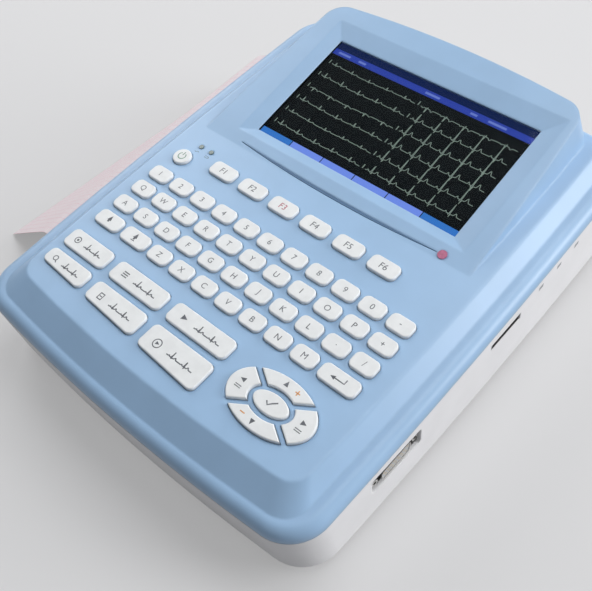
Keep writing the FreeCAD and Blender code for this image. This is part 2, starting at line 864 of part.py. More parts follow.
def bezel_frame(side, front, rear, height):
    """Corner points of a rectangle around the window, on the sloping plane."""
    half = size.window_width / 2 + side
    low = size.screen_y - front
    high = size.screen_y + size.window_depth + rear
    x = size.screen_x
    return [Vector(x - half, low, height), Vector(x + half, low, height),
            Vector(x + half, high, height), Vector(x - half, high, height)]


def closed(points):
    """A closed wire through points."""
    return Part.makePolygon(points + points[:1])


def divider_face(height):
    """A crescent between two arcs that meet at its ends, on the sloping plane."""
    half = size.divider_length / 2
    x = size.divider_x
    left = Vector(x - half, size.divider_sag, height)
    right = Vector(x + half, size.divider_sag, height)
    lower = Part.Arc(left, Vector(x, 0, height), right).toShape()
    upper = Part.Arc(right, Vector(x, size.divider_width, height), left).toShape()
    return Part.Face(Part.Wire([lower, upper]))


def status_places():
    """Centres of the two status lamps on the deck."""
    return [(status_x + i * size.status_pitch, status_y) for i in range(2)]


def boss_places():
    """The four places where screws join cover and base."""
    return [(x, y) for x in (-boss_x, boss_x) for y in (-boss_y, boss_y)]


def top_cover(keys):
    """The upper shell: rim, deck and screen block, hollowed, with its openings and screw posts."""
    outer = placed(cover_solid(0, 0), DECK)
    shell = outer.cut(placed(cover_solid(size.wall, size.wall), DECK))
    depth = size.bezel_depth + size.window_thickness
    bezel = (size.bezel_side, size.bezel_front, size.bezel_rear)
    frame = filled(bezel_frame(*bezel, 0)).makeOffset2D(size.wall).extrude(Vector(0, 0, -depth))
    additions = [placed(frame, SLOPE)]
    for x, y in boss_places():
        additions.append(column(size.boss_radius, x, y, size.boss_top, tall).common(outer))
        additions.append(column(size.boss_radius, x, y, size.boss_top, seam_z(y) + size.wall))
    for low in (mat_front - size.rail_width, mat_rear):
        rail = box_shape((-size.rail_length / 2, low, mat_bottom),
                         (size.rail_length / 2, low + size.rail_width, size.deck_rise - size.wall / 2))
        additions.append(placed(rail, DECK))
    shell = shell.fuse(additions).removeSplitter()
    rim = closed(bezel_frame(*[2 * margin for margin in bezel], size.bezel_depth))
    sill = closed(bezel_frame(0, 0, 0, -size.bezel_depth))
    pocket = Part.makeLoft([rim, sill], True, True)
    window = filled(bezel_frame(0, 0, 0, size.bezel_depth)).extrude(Vector(0, 0, -2 * depth))
    groove = divider_face(size.wall).makeOffset2D(size.opening_gap / 2)
    groove = groove.extrude(Vector(0, 0, -size.wall - size.divider_depth))
    lamp = Part.makeCylinder(size.lamp_radius, 4 * size.wall,
                             Vector(lamp_x, size.divider_sag, -2 * size.wall))
    tools = [placed(shape, SLOPE) for shape in (pocket, window, groove, lamp)]
    for x, y in status_places():
        hole = Part.makeCylinder(size.status_radius, 4 * size.wall, Vector(x, y, size.deck_rise - 2 * size.wall))
        tools.append(placed(hole, DECK))
    for x, y in boss_places():
        top = size.boss_top + size.screw_thread
        tools.append(column(size.screw_radius + size.screw_clearance, x, y, size.boss_top, top))
    keep(solid("top_cover", shell.cut(tools + key_holes(keys))))


def screen_stack():
    """Window, panel and the channel that holds them, behind one another under the bezel."""
    left = size.screen_x - size.window_width / 2
    window_low = -size.bezel_depth - size.window_thickness
    panel_low = window_low - size.panel_thickness
    keep(block("screen_window", "window_width", "window_depth", "window_thickness",
               at(SLOPE, left, size.screen_y, window_low)))
    panel_left = left - size.panel_margin
    panel_front = size.screen_y - size.panel_margin
    keep(block("lcd_panel", "window_width + 2 * panel_margin", "window_depth + 2 * panel_margin",
               "panel_thickness", at(SLOPE, panel_left, panel_front, panel_low)))
    sheet_low = panel_low - size.bracket_thickness
    flange_left = panel_left - size.bracket_thickness
    panel_right = panel_left + size.window_width + 2 * size.panel_margin
    depth = "window_depth + 2 * panel_margin"
    back = block("bracket_back", "window_width + 2 * panel_margin + 2 * bracket_thickness", depth,
                 "bracket_thickness", at(SLOPE, flange_left, panel_front, sheet_low))
    flanges = [block(f"bracket_flange_{i + 1}", "bracket_thickness", depth, "panel_thickness + bracket_thickness",
                     at(SLOPE, x, panel_front, sheet_low)) for i, x in enumerate((flange_left, panel_right))]
    keep(join("lcd_bracket", back, *flanges))


def lamp_body(name, radius, frame, x, y, surface):
    """A lamp lens through the shell, with a flange under it."""
    lens = rod(name + "_lens", radius, "wall + lamp_proud", at(frame, x, y, surface - size.wall))
    flange = rod(name + "_flange", radius + " + lamp_flange", "lamp_flange",
                 at(frame, x, y, surface - size.wall - size.lamp_flange))
    return join(name, lens, flange)


def lamps_and_divider():
    """The indicator lamp, the status lamps and the dark crescent on the crease."""
    keep(lamp_body("indicator_lamp", "lamp_radius", SLOPE, lamp_x, size.divider_sag, 0))
    status = [lamp_body(f"status_lamp_{i + 1}", "status_radius", DECK, x, y, size.deck_rise)
              for i, (x, y) in enumerate(status_places())]
    keep(group("status_lamps", status))
    strip = divider_face(-size.divider_depth).extrude(Vector(0, 0, size.divider_depth + size.divider_proud))
    keep(solid("divider_strip", strip, SLOPE))


# Paper drawer

def drawer_box(gap, top):
    """The space of the drawer's front in the left wall, up to a level."""
    inner = -half_width + size.wall + size.side_bow + size.drawer_gap
    space = box_shape((-half_width - size.wall, front_low - gap, front_bottom - gap),
                      (inner, front_high + gap, top))
    return placed(space, DECK)


def paper_drawer():
    """The drawer: its front is a piece of the left wall, with a tray and two ears for the roller behind it."""
    side_top = drawer_bottom + size.side_height
    in_wall = -(wall_x(front_high) + half_width - size.wall) / 2
    ear_top = axis_w + size.shaft_radius + size.drawer_wall
    profile = [(in_wall, drawer_bottom), (tray_right, drawer_bottom), (tray_right, side_top),
               (axis_u + size.ear_half, side_top), (axis_u + size.ear_half, ear_top),
               (axis_u - size.ear_half, ear_top), (axis_u - size.ear_half, side_top), (in_wall, side_top)]
    tray = filled([Vector(u, side_low, w) for u, w in profile]).extrude(Vector(0, side_high - side_low, 0))
    space = box_shape((in_wall - size.wall, side_low + size.drawer_wall, drawer_bottom + size.drawer_wall),
                      (tray_right - size.drawer_wall, side_high - size.drawer_wall, 0))
    tray = placed(tray.cut(space), DECK)
    front = base_shell().common(drawer_box(0, -size.slot_height))
    bore = Part.makeCylinder(size.shaft_radius + size.running_gap, size.body_depth)
    bore = placed(bore, to_back(DECK, axis_u, -half_depth, axis_w))
    keep(solid("paper_drawer", front.fuse(tray).removeSplitter().cut(bore)))


def paper_profile(v, reach):
    """Closed outline of the paper at one edge: up from the pack, over the roller, out and down to the table.

    The last run is the tangent from the paper's end to the bend at the wall."""
    y = v * math.cos(tilt) - paper_level * math.sin(tilt)
    rise = size.seam_height + v * math.sin(tilt)
    level = rise + paper_level * math.cos(tilt)
    start = rise + pack_top * math.cos(tilt)
    large = size.paper_curve
    rest = size.paper_lift - level + large
    bend = math.atan2(reach, rest) - math.acos(large / math.hypot(reach, rest))
    small = size.platen_radius + size.paper_gap
    roller_x = body_x + axis_u
    exit_x = body_x - half_width

    def side(offset):
        """Edges of one face of the paper, at an offset from its lower one."""
        def roller(angle):
            radius = small + offset
            return Vector(roller_x + radius * math.cos(angle), y, level - small + radius * math.sin(angle))

        def over(angle):
            radius = large + offset
            return Vector(exit_x - radius * math.sin(angle), y, level - large + radius * math.cos(angle))

        first = Vector(roller_x + small + offset, y, start)
        last = Vector(exit_x - reach, y, size.paper_lift + offset / math.cos(bend))
        return [Part.LineSegment(first, roller(0)),
                Part.Arc(roller(0), roller(math.pi / 4), roller(math.pi / 2)),
                Part.LineSegment(roller(math.pi / 2), over(0)),
                Part.Arc(over(0), over(bend / 2), over(bend)),
                Part.LineSegment(over(bend), last)]

    lower = side(0)
    upper = side(size.paper_thickness)
    ends = [Part.LineSegment(lower[-1].EndPoint, upper[-1].EndPoint),
            Part.LineSegment(upper[0].StartPoint, lower[0].StartPoint)]
    edges = [curve.toShape() for curve in lower + upper + ends]
    return Part.Wire(Part.__sortEdges__(edges))


def paper():
    """The fan-fold pack in the drawer and the strip that leaves it."""
    low = paper_y - size.paper_width / 2
    keep(block("paper_pack", "pack_length", "paper_width", "pack_height",
               at(DECK, pack_left, low, drawer_bottom + size.drawer_wall)))
    front = paper_profile(low, size.paper_reach)
    rear = paper_profile(low + size.paper_width, size.paper_reach - size.paper_slant)
    keep(solid("chart_paper", Part.makeLoft([front, rear], True, True)))


# Printer

def pitch_radius(teeth):
    """Radius of a gear's pitch circle."""
    return size.gear_module * teeth / 2


def gear_places():
    """Centres of idler and pinion in the deck's frame, as seen along the roller."""
    first = pitch_radius(size.platen_teeth) + pitch_radius(size.idler_teeth)
    second = pitch_radius(size.idler_teeth) + pitch_radius(size.pinion_teeth)
    idler_turn = math.radians(size.idler_angle)
    pinion_turn = math.radians(size.pinion_angle)
    idler = (axis_u + first * math.cos(idler_turn), axis_w + first * math.sin(idler_turn))
    pinion = (idler[0] + second * math.cos(pinion_turn), idler[1] + second * math.sin(pinion_turn))
    return idler, pinion


def gear_shape(teeth, turn):
    """A spur gear with straight flanks; the middle of one tooth stands at the turn angle."""
    pitch = pitch_radius(teeth)
    tip = pitch + size.tooth_rise * size.gear_module
    root = pitch - size.tooth_fall * size.gear_module
    step = 2 * math.pi / teeth
    corners = [(root, -size.tooth_root_share), (tip, -size.tooth_tip_share),
               (tip, size.tooth_tip_share), (root, size.tooth_root_share)]
    points = []
    for i in range(int(teeth)):
        for radius, share in corners:
            angle = turn + (i + share) * step
            points.append(Vector(radius * math.cos(angle), radius * math.sin(angle), 0))
    return filled(points).extrude(Vector(0, 0, size.gear_width))


def gear_turns():
    """Turn angles at which a tooth of each gear faces a gap of the next; seen from behind, down is positive."""
    idler_step = 2 * math.pi / size.idler_teeth
    to_idler = -math.radians(size.idler_angle)
    to_pinion = -math.radians(size.pinion_angle)
    idler = to_idler + math.pi + idler_step / 2
    ahead = (idler - to_pinion) % idler_step
    pinion_step = 2 * math.pi / size.pinion_teeth
    pinion = to_pinion + math.pi - ahead * size.idler_teeth / size.pinion_teeth + pinion_step / 2
    return to_idler, idler, pinion


def platen():
    """The roller on its shaft, with the gear at its rear end."""
    middle = to_back(DECK, axis_u, paper_y - size.paper_width / 2, axis_w)
    sleeve = rod("sleeve", "platen_radius", "paper_width", middle)
    keep(cut("platen_roller", sleeve, rod("sleeve_bore", "shaft_radius", "paper_width", middle)))
    end = size.drawer_play / 2
    shaft_length = TRAY_SPAN + " + drawer_play + gear_gap + gear_width"
    keep(rod("platen_shaft", "shaft_radius", shaft_length, to_back(DECK, axis_u, side_low - end, axis_w)))
    wheel = gear_shape(size.platen_teeth, gear_turns()[0])
    wheel = wheel.cut(Part.makeCylinder(size.shaft_radius, size.gear_width))
    keep(solid("platen_gear", wheel, to_back(DECK, axis_u, gear_low, axis_w)))


def gear_train():
    """The idler on its pin, the motor and the pinion on the motor's shaft."""
    idler, pinion = gear_places()
    turns = gear_turns()
    wheel = gear_shape(size.idler_teeth, turns[1])
    wheel = wheel.cut(Part.makeCylinder(size.shaft_radius + size.running_gap, size.gear_width))
    keep(solid("idler_gear", wheel, to_back(DECK, idler[0], gear_low, idler[1])))
    pin = rod("pin_stem", "shaft_radius", "gear_width + gear_end + chassis_gap",
              to_back(DECK, idler[0], gear_low, idler[1]))
    collar = rod("pin_collar", "collar_radius", "gear_end + chassis_gap - paper_gap",
                 to_back(DECK, idler[0], gear_high + size.paper_gap, idler[1]))
    keep(join("idler_pin", pin, collar))
    motor_front = chassis_high + size.chassis_sheet
    drum = rod("motor_drum", "motor_radius", "motor_length", to_back(DECK, pinion[0], motor_front, pinion[1]))
    bore = rod("motor_bore", "shaft_radius + running_gap", "motor_shaft_length + running_gap",
               to_back(DECK, pinion[0], motor_front, pinion[1]))
    keep(cut("feed_motor", drum, bore))
    shaft_length = motor_front + size.motor_shaft_length - gear_low
    shape = gear_shape(size.pinion_teeth, turns[2])
    shape = shape.fuse(Part.makeCylinder(size.shaft_radius, shaft_length)).removeSplitter()
    keep(solid("motor_pinion", shape, to_back(DECK, pinion[0], gear_low, pinion[1])))


def printer_chassis():
    """The sheet-metal channel around the drawer, with the print head across it and runners on its floor."""
    long = chassis_right - chassis_left
    low = chassis_low - size.chassis_sheet
    pinion = gear_places()[1]
    shape = box_shape((chassis_left, low, chassis_bottom),
                      (chassis_right, chassis_high + size.chassis_sheet, chassis_bottom + size.chassis_sheet))
    for edge in (low, chassis_high):
        shape = shape.fuse(box_shape((chassis_left, edge, chassis_bottom),
                                     (chassis_right, edge + size.chassis_sheet, chassis_top)))
    shaft_hole = Part.makeCylinder(2 * size.shaft_radius, 2 * size.chassis_sheet)
    shaft_hole.Placement = to_back(Placement(), pinion[0], chassis_high - size.chassis_sheet / 2, pinion[1])
    keep(solid("printer_chassis", shape.removeSplitter().cut(shaft_hole), DECK))
    keep(block("print_head", "head_width", CHASSIS_SPAN, "head_height",
               at(DECK, axis_u - size.head_ahead, chassis_low, head_bottom)))
    runner_low = chassis_bottom + size.chassis_sheet
    places = (side_low + size.runner_inset, side_high - size.runner_inset - size.runner_width)
    runners = [block(f"runner_{i + 1}", "pack_length", "runner_width", "runner_height",
                     at(DECK, chassis_left + (long - size.pack_length) / 2, v, runner_low))
               for i, v in enumerate(places)]
    keep(group("drawer_runners", runners))


# Sockets in the right wall

socket_z = seam_z(socket_y) - size.socket_drop
socket_end = wall_x(socket_y) - size.socket_sink
flange_x = socket_end - size.socket_shell_length
front_end_top = socket_z - size.socket_flange_height / 2 - size.opening_gap
card_z = seam_z(card_y) - size.card_drop
card_end = wall_x(card_y) - size.socket_sink
main_top = card_z - size.card_height / 2


def post_places():
    """Depths of the two screw posts beside the patient socket."""
    return [socket_y + side * size.socket_pitch / 2 for side in (-1, 1)]


def socket_outline(inset):
    """The socket's shell: a rounded trapezium, wider above, upright across the third axis."""
    half = size.socket_shell_width / 2 - inset
    top = size.socket_shell_height / 2 - inset
    slim = half - size.socket_shell_slant
    points = [Vector(-top, -half, 0), Vector(-top, half, 0), Vector(top, slim, 0), Vector(top, -slim, 0)]
    return softened(filled(points), size.socket_shell_corner - inset)


def patient_socket():
    """The patient socket: flange, D-shaped shell with contact holes, and the body behind them."""
    flange = slab(size.socket_flange_height, size.socket_flange_width, size.socket_flange_thickness,
                  size.socket_shell_corner)
    flange.translate(Vector(0, 0, -size.socket_flange_thickness))
    shell = socket_outline(0).extrude(Vector(0, 0, size.socket_shell_length))
    mouth = socket_outline(size.socket_shell_wall).extrude(Vector(0, 0, size.wall))
    mouth.translate(Vector(0, 0, size.socket_shell_length - size.contact_radius))
    back = -size.socket_flange_thickness - size.socket_body_length
    low = socket_z - front_end_top
    body = box_shape((-size.socket_shell_height / 2, -size.socket_body_width / 2, back),
                     (low, size.socket_body_width / 2, -size.socket_flange_thickness))
    tools = [mouth]
    for side, count in ((-1, int(size.upper_contacts)), (1, int(size.lower_contacts))):
        for i in range(count):
            y = (i - (count - 1) / 2) * size.contact_pitch
            start = Vector(side * size.contact_row_gap / 2, y, size.socket_shell_length - size.contact_depth)
            tools.append(Part.makeCylinder(size.contact_radius, size.socket_shell_length, start))
    for side in (-1, 1):
        start = Vector(0, side * size.socket_pitch / 2, -2 * size.socket_flange_thickness)
        tools.append(Part.makeCylinder(size.post_thread_radius, size.socket_shell_length, start))
    shape = flange.fuse([shell, body]).removeSplitter().cut(tools)
    keep(solid("patient_socket", shape, to_right(BODY, flange_x, socket_y, socket_z)))
    post = hexagon(size.post_radius, size.post_length)
    post = post.cut(Part.makeCylinder(size.post_thread_radius, size.post_length))
    posts = [placed(post, to_right(BODY, flange_x, y, socket_z)) for y in post_places()]
    keep(solid("socket_posts", Part.makeCompound(posts)))


def card_socket():
    """The memory card's socket behind the slot in the right wall."""
    left = card_end - size.card_length
    case = block("card_case", "card_length", "card_width + 2 * card_wall", "card_height",
                 at(BODY, left, card_y - size.card_width / 2 - size.card_wall, main_top))
    slot = block("card_slot", "card_length", "card_width", "card_slot",
                 at(BODY, left + size.card_wall, card_y - size.card_width / 2,
                    card_z - size.card_slot / 2))
    keep(cut("card_socket", case, slot))


# Rear panel

def inlet_mouth(depth):
    """The inlet's six-sided hollow: a rectangle with two corners cut off above."""
    half = size.inlet_width / 2 - size.inlet_wall
    high = size.inlet_height / 2 - size.inlet_wall
    slim = half - size.inlet_chamfer
    edge = high - size.inlet_chamfer
    points = [Vector(-half, high, 0), Vector(half, high, 0), Vector(half, -edge, 0),
              Vector(slim, -high, 0), Vector(-slim, -high, 0), Vector(-half, -edge, 0)]
    return filled(points).extrude(Vector(0, 0, depth))


def mains_inlet():
    """The mains inlet: a flange, a body with a hollow, and three blades in it."""
    rim = 2 * size.inlet_flange
    flange = slab(size.inlet_width + rim, size.inlet_height + rim, size.inlet_flange_thickness, rim)
    body = box_shape((-size.inlet_width / 2, -size.inlet_height / 2, -size.inlet_depth),
                     (size.inlet_width / 2, size.inlet_height / 2, 0))
    bottom = -size.inlet_depth + size.inlet_floor
    mouth = inlet_mouth(size.inlet_depth + size.inlet_flange_thickness)
    mouth.translate(Vector(0, 0, bottom))
    shape = flange.fuse(body).removeSplitter().cut(mouth)
    tip = size.inlet_flange_thickness - size.blade_sink
    for i in (-1, 0, 1):
        y = -size.blade_offset if i == 0 else size.blade_offset
        low = Vector(i * size.blade_pitch - size.blade_width / 2, y - size.blade_height / 2,
                     bottom - size.inlet_floor / 2)
        shape = shape.fuse(Part.makeBox(size.blade_width, size.blade_height, tip - low.z, low))
    keep(solid("mains_inlet", shape.removeSplitter(), to_back(BODY, inlet_x, rear_panel_y, size.inlet_z)))


def rocker_switch():
    """The rocker in its frame: a short drum across, with a shallow notch in front, tilted to one side."""
    rim = 2 * size.rocker_flange
    flange = slab(size.rocker_width + rim, size.rocker_height + rim, size.rocker_flange_thickness,
                  size.rocker_flange)
    body = box_shape((-size.rocker_width / 2, -size.rocker_height / 2, -size.rocker_depth),
                     (size.rocker_width / 2, size.rocker_height / 2, 0))
    half = size.rocker_width / 2 - size.rocker_wall
    high = size.rocker_height / 2 - size.rocker_wall
    hollow = box_shape((-half, -high, -high), (half, high, size.rocker_depth))
    place = to_back(BODY, rocker_x, rear_panel_y, size.inlet_z)
    keep(solid("rocker_frame", flange.fuse(body).removeSplitter().cut(hollow), place))
    radius = high - size.rocker_gap
    reach = half - size.rocker_gap
    drum = Part.makeCylinder(radius, 2 * reach, Vector(-reach, 0, 0), Vector(1, 0, 0))
    notch = box_shape((-wide, -wide, 0), (wide, wide, wide))
    sides = []
    for turn in (size.rocker_throw, -size.rocker_throw):
        half_space = notch.copy()
        half_space.rotate(Vector(0, 0, 0), Vector(1, 0, 0), turn)
        half_space.translate(Vector(0, 0, size.rocker_front))
        sides.append(half_space)
    drum = drum.cut(sides[0].common(sides[1]))
    tilt = Placement(Vector(0, 0, 0), Rotation(Vector(1, 0, 0), -size.rocker_throw))
    keep(solid("power_rocker", drum, place.multiply(tilt)))


def ground_stud():
    """The ground stud: a rod through the rear panel with a collar outside and a nut inside."""
    inner = -size.wall - size.stud_nut_height
    pin = Part.makeCylinder(size.stud_radius, size.stud_length - inner, Vector(0, 0, inner))
    collar = Part.makeCylinder(size.stud_collar, size.wall / 2)
    nut = hexagon(size.stud_nut, size.stud_nut_height)
    nut.translate(Vector(0, 0, inner))
    shape = pin.fuse([collar, nut]).removeSplitter()
    keep(solid("ground_stud", shape, to_back(BODY, stud_x, rear_panel_y, size.inlet_z)))


# Boards, battery and speaker

def board_spaces():
    """Each board's left edge, front edge, width, depth and top."""
    return {
        "front_end_board": (board_left, front_end_front, size.board_width, size.front_end_depth, front_end_top),
        "main_board": (board_left, main_front, size.board_width, size.main_depth, main_top),
        "power_board": (power_board_left, power_board_front,
                        size.power_board_width, size.power_board_depth, size.power_board_top),
    }


def on_board(name, along, across):
    """A place on a board's top, by shares of its width and depth."""
    left, front, width, depth, top = board_spaces()[name]
    return at(BODY, left + along * width, front + across * depth, top)


def boards():
    """The patient front-end board, the main board and the power board with their larger pieces."""
    plates = {}
    widths = {"front_end_board": ("board_width", "front_end_depth"),
              "main_board": ("board_width", "main_depth"),
              "power_board": ("power_board_width", "power_board_depth")}
    for name, (width, depth) in widths.items():
        left, front, _, _, top = board_spaces()[name]
        plates[name] = block(name + "_plate", width, depth, "board_thickness",
                             at(BODY, left, front, top - size.board_thickness))
    shield = block("shield", "shield_length", "shield_width", "shield_height",
                   on_board("front_end_board", along=0.25, across=0.62))
    filter_chip = block("filter_chip", "chip_width", "chip_width", "chip_height",
                        on_board("front_end_board", along=0.2, across=0.2))
    keep(join("front_end_board", plates["front_end_board"], shield, filter_chip))
    chips = [block(f"main_chip_{i + 1}", "chip_width", "chip_width", "chip_height",
                   on_board("main_board", along=0.25, across=share))
             for i, share in enumerate((0.1, 0.55, 0.8))]
    keep(join("main_board", plates["main_board"], *chips))
    transformer = block("transformer", "transformer_length", "transformer_width", "transformer_height",
                        on_board("power_board", along=0.08, across=0.25))
    heat_sink = block("heat_sink", "heat_sink_length", "heat_sink_width", "heat_sink_height",
                      on_board("power_board", along=0.48, across=0.2))
    capacitors = [rod(f"capacitor_{i + 1}", "capacitor_radius", "capacitor_height",
                      on_board("power_board", along=share, across=0.7)) for i, share in enumerate((0.55, 0.75))]
    keep(join("power_board", plates["power_board"], transformer, heat_sink, *capacitors))


def battery():
    """The battery pack above the hatch in the floor, and the hatch."""
    front = main_y - size.battery_depth / 2
    keep(block("battery_pack", "battery_width", "battery_depth", "battery_height",
               at(BODY, battery_left, front, size.foot_height + size.hatch_thickness)))
    margin = size.hatch_margin - size.opening_gap
    low = (battery_left - margin, front - margin)
    high = (battery_left + size.battery_width + margin, front + size.battery_depth + margin)
    hatch = plate_shape(low, high, size.foot_height, size.hatch_thickness, size.hatch_margin)
    keep(solid("battery_cover", hatch, BODY))


def battery_opening():
    """The stepped hole in the floor: the hatch's recess below, the battery's way through above."""
    left = battery_left
    front = main_y - size.battery_depth / 2
    right = left + size.battery_width
    rear = front + size.battery_depth
    gap = size.battery_gap
    margin = size.hatch_margin
    recess = plate_shape((left - margin, front - margin), (right + margin, rear + margin),
                         size.foot_height - size.wall, size.wall + size.hatch_thickness, margin)
    way = box_shape((left - gap, front - gap, size.foot_height), (right + gap, rear + gap, floor_z + size.wall))
    return placed(recess.fuse(way), BODY)


def speaker():
    """The loudspeaker on the floor, above its grille."""
    cone = rod("speaker_cone", "speaker_radius", "speaker_height",
               at(BODY, speaker_x, speaker_y, floor_z))
    magnet = rod("speaker_magnet", "magnet_radius", "magnet_height",
                 at(BODY, speaker_x, speaker_y, floor_z + size.speaker_height))
    keep(join("speaker", cone, magnet))


def grille_holes():
    """A ring of small holes in the floor under the loudspeaker, and one in its middle."""
    places = [(0, 0)]
    for i in range(int(size.grille_holes)):
        turn = 2 * math.pi * i / size.grille_holes
        places.append((size.grille_pitch * math.cos(turn), size.grille_pitch * math.sin(turn)))
    return [column(size.grille_radius, speaker_x + x, speaker_y + y, 0, floor_z + size.wall / 2)
            for x, y in places]


# Base

def foot_places():
    """Centres of the four feet."""
    x = half_width - size.foot_inset
    y = half_depth - size.foot_inset
    return [(-x, -y), (x, -y), (-x, y), (x, y)]


def feet_and_screws():
    """Four feet under the floor and four screws up into the cover's posts."""
    feet = [rod(f"foot_{i + 1}", "foot_radius", "foot_height", at(BODY, x, y, 0))
            for i, (x, y) in enumerate(foot_places())]
    keep(group("feet", feet))
    screws = []
    for i, (x, y) in enumerate(boss_places()):
        shank = rod(f"shank_{i + 1}", "screw_radius", "boss_top + screw_thread - screw_seat",
                    at(BODY, x, y, size.screw_seat))
        head = rod(f"head_{i + 1}", "screw_head_radius", "screw_head_height",
                   at(BODY, x, y, size.screw_seat - size.screw_head_height))
        screws.append(join(f"screw_{i + 1}", shank, head))
    keep(group("case_screws", screws))


def base_posts():
    """Bosses for the case screws and posts under the boards and under the printer."""
    low = floor_z - size.wall / 2
    posts = [column(size.boss_radius, x, y, low, size.boss_top) for x, y in boss_places()]
    inset = size.board_post_inset
    for left, front, width, depth, top in board_spaces().values():
        for x in (left + inset, left + width - inset):
            for y in (front + inset, front + depth - inset):
                posts.append(column(size.board_post_radius, x, y, low, top - size.board_thickness))
    above = placed(box_shape((-wide, -wide, chassis_bottom), (wide, wide, tall)), DECK)
    inset = size.chassis_post_inset
    for x in (chassis_left + inset, chassis_right - inset):
        for y in (chassis_low + inset, chassis_high - inset):
            posts.append(column(size.chassis_post_radius, x, y, low, tall).cut(above))
    return posts


def rear_panel_box(margin, front):
    """The space of the recessed rear panel, with a margin around it, from a depth to the back."""
    right = rear_panel_left + size.rear_panel_width
    top = size.rear_panel_bottom + size.rear_panel_height
    space = box_shape((rear_panel_left - margin, front, size.rear_panel_bottom - margin),
                      (right + margin, half_depth + size.wall, top + margin))
    return placed(space, BODY)


def wall_openings():
    """Tools for the socket and card openings in the right wall and the holes in the rear panel."""
    gap = 2 * size.opening_gap
    deep = 4 * size.wall
    socket = slab(size.socket_flange_height + gap, size.socket_flange_width + gap, deep, size.socket_shell_corner)
    card = slab(size.card_height + gap, size.card_width + 2 * size.card_wall + gap, deep, size.opening_gap)
    inlet = box_shape((-size.inlet_width / 2, -size.inlet_height / 2, -deep),
                      (size.inlet_width / 2, size.inlet_height / 2, deep))
    rocker = box_shape((-size.rocker_width / 2, -size.rocker_height / 2, -deep),
                       (size.rocker_width / 2, size.rocker_height / 2, deep))
    stud = Part.makeCylinder(size.stud_radius + size.screw_clearance, deep, Vector(0, 0, -deep))
    return [placed(socket, to_right(BODY, half_width - deep / 2, socket_y, socket_z)),
            placed(card, to_right(BODY, half_width - deep / 2, card_y, card_z)),
            placed(inlet, to_back(BODY, inlet_x, rear_panel_y, size.inlet_z)),
            placed(rocker, to_back(BODY, rocker_x, rear_panel_y, size.inlet_z)),
            placed(stud, to_back(BODY, stud_x, rear_panel_y, size.inlet_z))]


def base_tray():
    """The lower shell with its posts, recessed rear panel and openings."""
    panel = rear_panel_box(size.wall, rear_panel_y - size.wall).common(base_outer())
    shell = base_shell().fuse(base_posts() + [panel]).removeSplitter()
    tools = [drawer_box(size.drawer_gap, size.wall), rear_panel_box(0, rear_panel_y), battery_opening()]
    tools += wall_openings() + grille_holes()
    for x, y in boss_places():
        tools.append(column(size.screw_radius + size.screw_clearance, x, y, 0, size.boss_top + size.wall))
        tools.append(column(size.screw_head_radius + size.screw_clearance, x, y, 0, size.screw_seat))
    keep(solid("base_tray", shell.cut(tools)))


# Assembly

letter_keys()
function_keys()
mode_keys()
top_cover(list(subparts))
pad_keys()
key_stack()
screen_stack()
lamps_and_divider()
paper_drawer()
paper()
platen()
gear_train()
printer_chassis()
patient_socket()
card_socket()
mains_inlet()
rocker_switch()
ground_stud()
boards()
battery()
speaker()
feet_and_screws()
base_tray()
doc.recompute()

# Tests of every object and every sub-part's shape, then the files
for item in doc.Objects:
    faults = [state for state in item.State if state in ("Invalid", "Error")]
    if faults:
        raise RuntimeError(f"{item.Label} is {faults}")
for item in subparts:
    if item.Shape.isNull() or not item.Shape.isValid():
        raise RuntimeError(f"{item.Label} has no valid shape")
os.makedirs("parts", exist_ok=True)
for item in subparts:
    item.Shape.exportStep(f"parts/{item.Label}.step")
print(len(subparts), "sub-parts")
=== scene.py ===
import json
import math

import bpy
import numpy as np
from mathutils import Matrix, Vector


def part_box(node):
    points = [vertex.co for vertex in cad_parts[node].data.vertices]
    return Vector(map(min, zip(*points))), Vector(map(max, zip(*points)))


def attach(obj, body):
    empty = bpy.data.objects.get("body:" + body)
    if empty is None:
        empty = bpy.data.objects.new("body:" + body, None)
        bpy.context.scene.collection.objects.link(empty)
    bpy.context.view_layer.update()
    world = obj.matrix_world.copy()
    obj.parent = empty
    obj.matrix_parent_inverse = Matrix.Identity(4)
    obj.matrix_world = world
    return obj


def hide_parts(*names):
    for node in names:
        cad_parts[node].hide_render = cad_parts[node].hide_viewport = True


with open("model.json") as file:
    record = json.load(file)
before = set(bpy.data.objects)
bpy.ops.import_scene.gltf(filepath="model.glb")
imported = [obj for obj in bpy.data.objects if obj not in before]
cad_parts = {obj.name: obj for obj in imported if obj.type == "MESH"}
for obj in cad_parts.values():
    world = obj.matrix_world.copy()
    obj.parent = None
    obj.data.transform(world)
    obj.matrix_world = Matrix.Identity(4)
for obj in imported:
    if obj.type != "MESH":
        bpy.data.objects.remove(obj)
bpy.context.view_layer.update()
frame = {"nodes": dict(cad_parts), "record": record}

# The case's frame, in metres and radians: its middle, the seam, the tilted deck and the screen's slope
base_low, base_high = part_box("base_tray")
BODY_X = (base_low[0] + base_high[0]) / 2
HALF_WIDTH = (base_high[0] - base_low[0]) / 2
SIDE_BOW = 0.0025
BOW_REACH = 0.157
SEAM = 0.053
TILT = math.radians(2.5)
DECK_RISE = 0.0155
KEY_TOP = 0.0175
CREASE = 0.0169906
SCREEN_SLOPE = math.radians(8.7)

# The screen's window and the panel behind it
SCREEN_X = 0.0045
SCREEN_FRONT = 0.018
SCREEN_WIDTH = 0.154
SCREEN_DEPTH = 0.087
PANEL_MARGIN = 0.006

# The letter keys
KEY_PITCH = 0.019
KEY_WIDTH = 0.0158
SHIFT_WIDTH = 0.0205
CAPS_WIDTH = 0.0211
FULL_ROWS = {"keys_row_1": "1234567890-", "keys_row_2": "QWERTYUIOP+", "keys_row_3": "ASDFGHJKL./"}
LAST_ROW = "keys_row_4"
LAST_ROW_LETTERS = "ZXCVBNM"

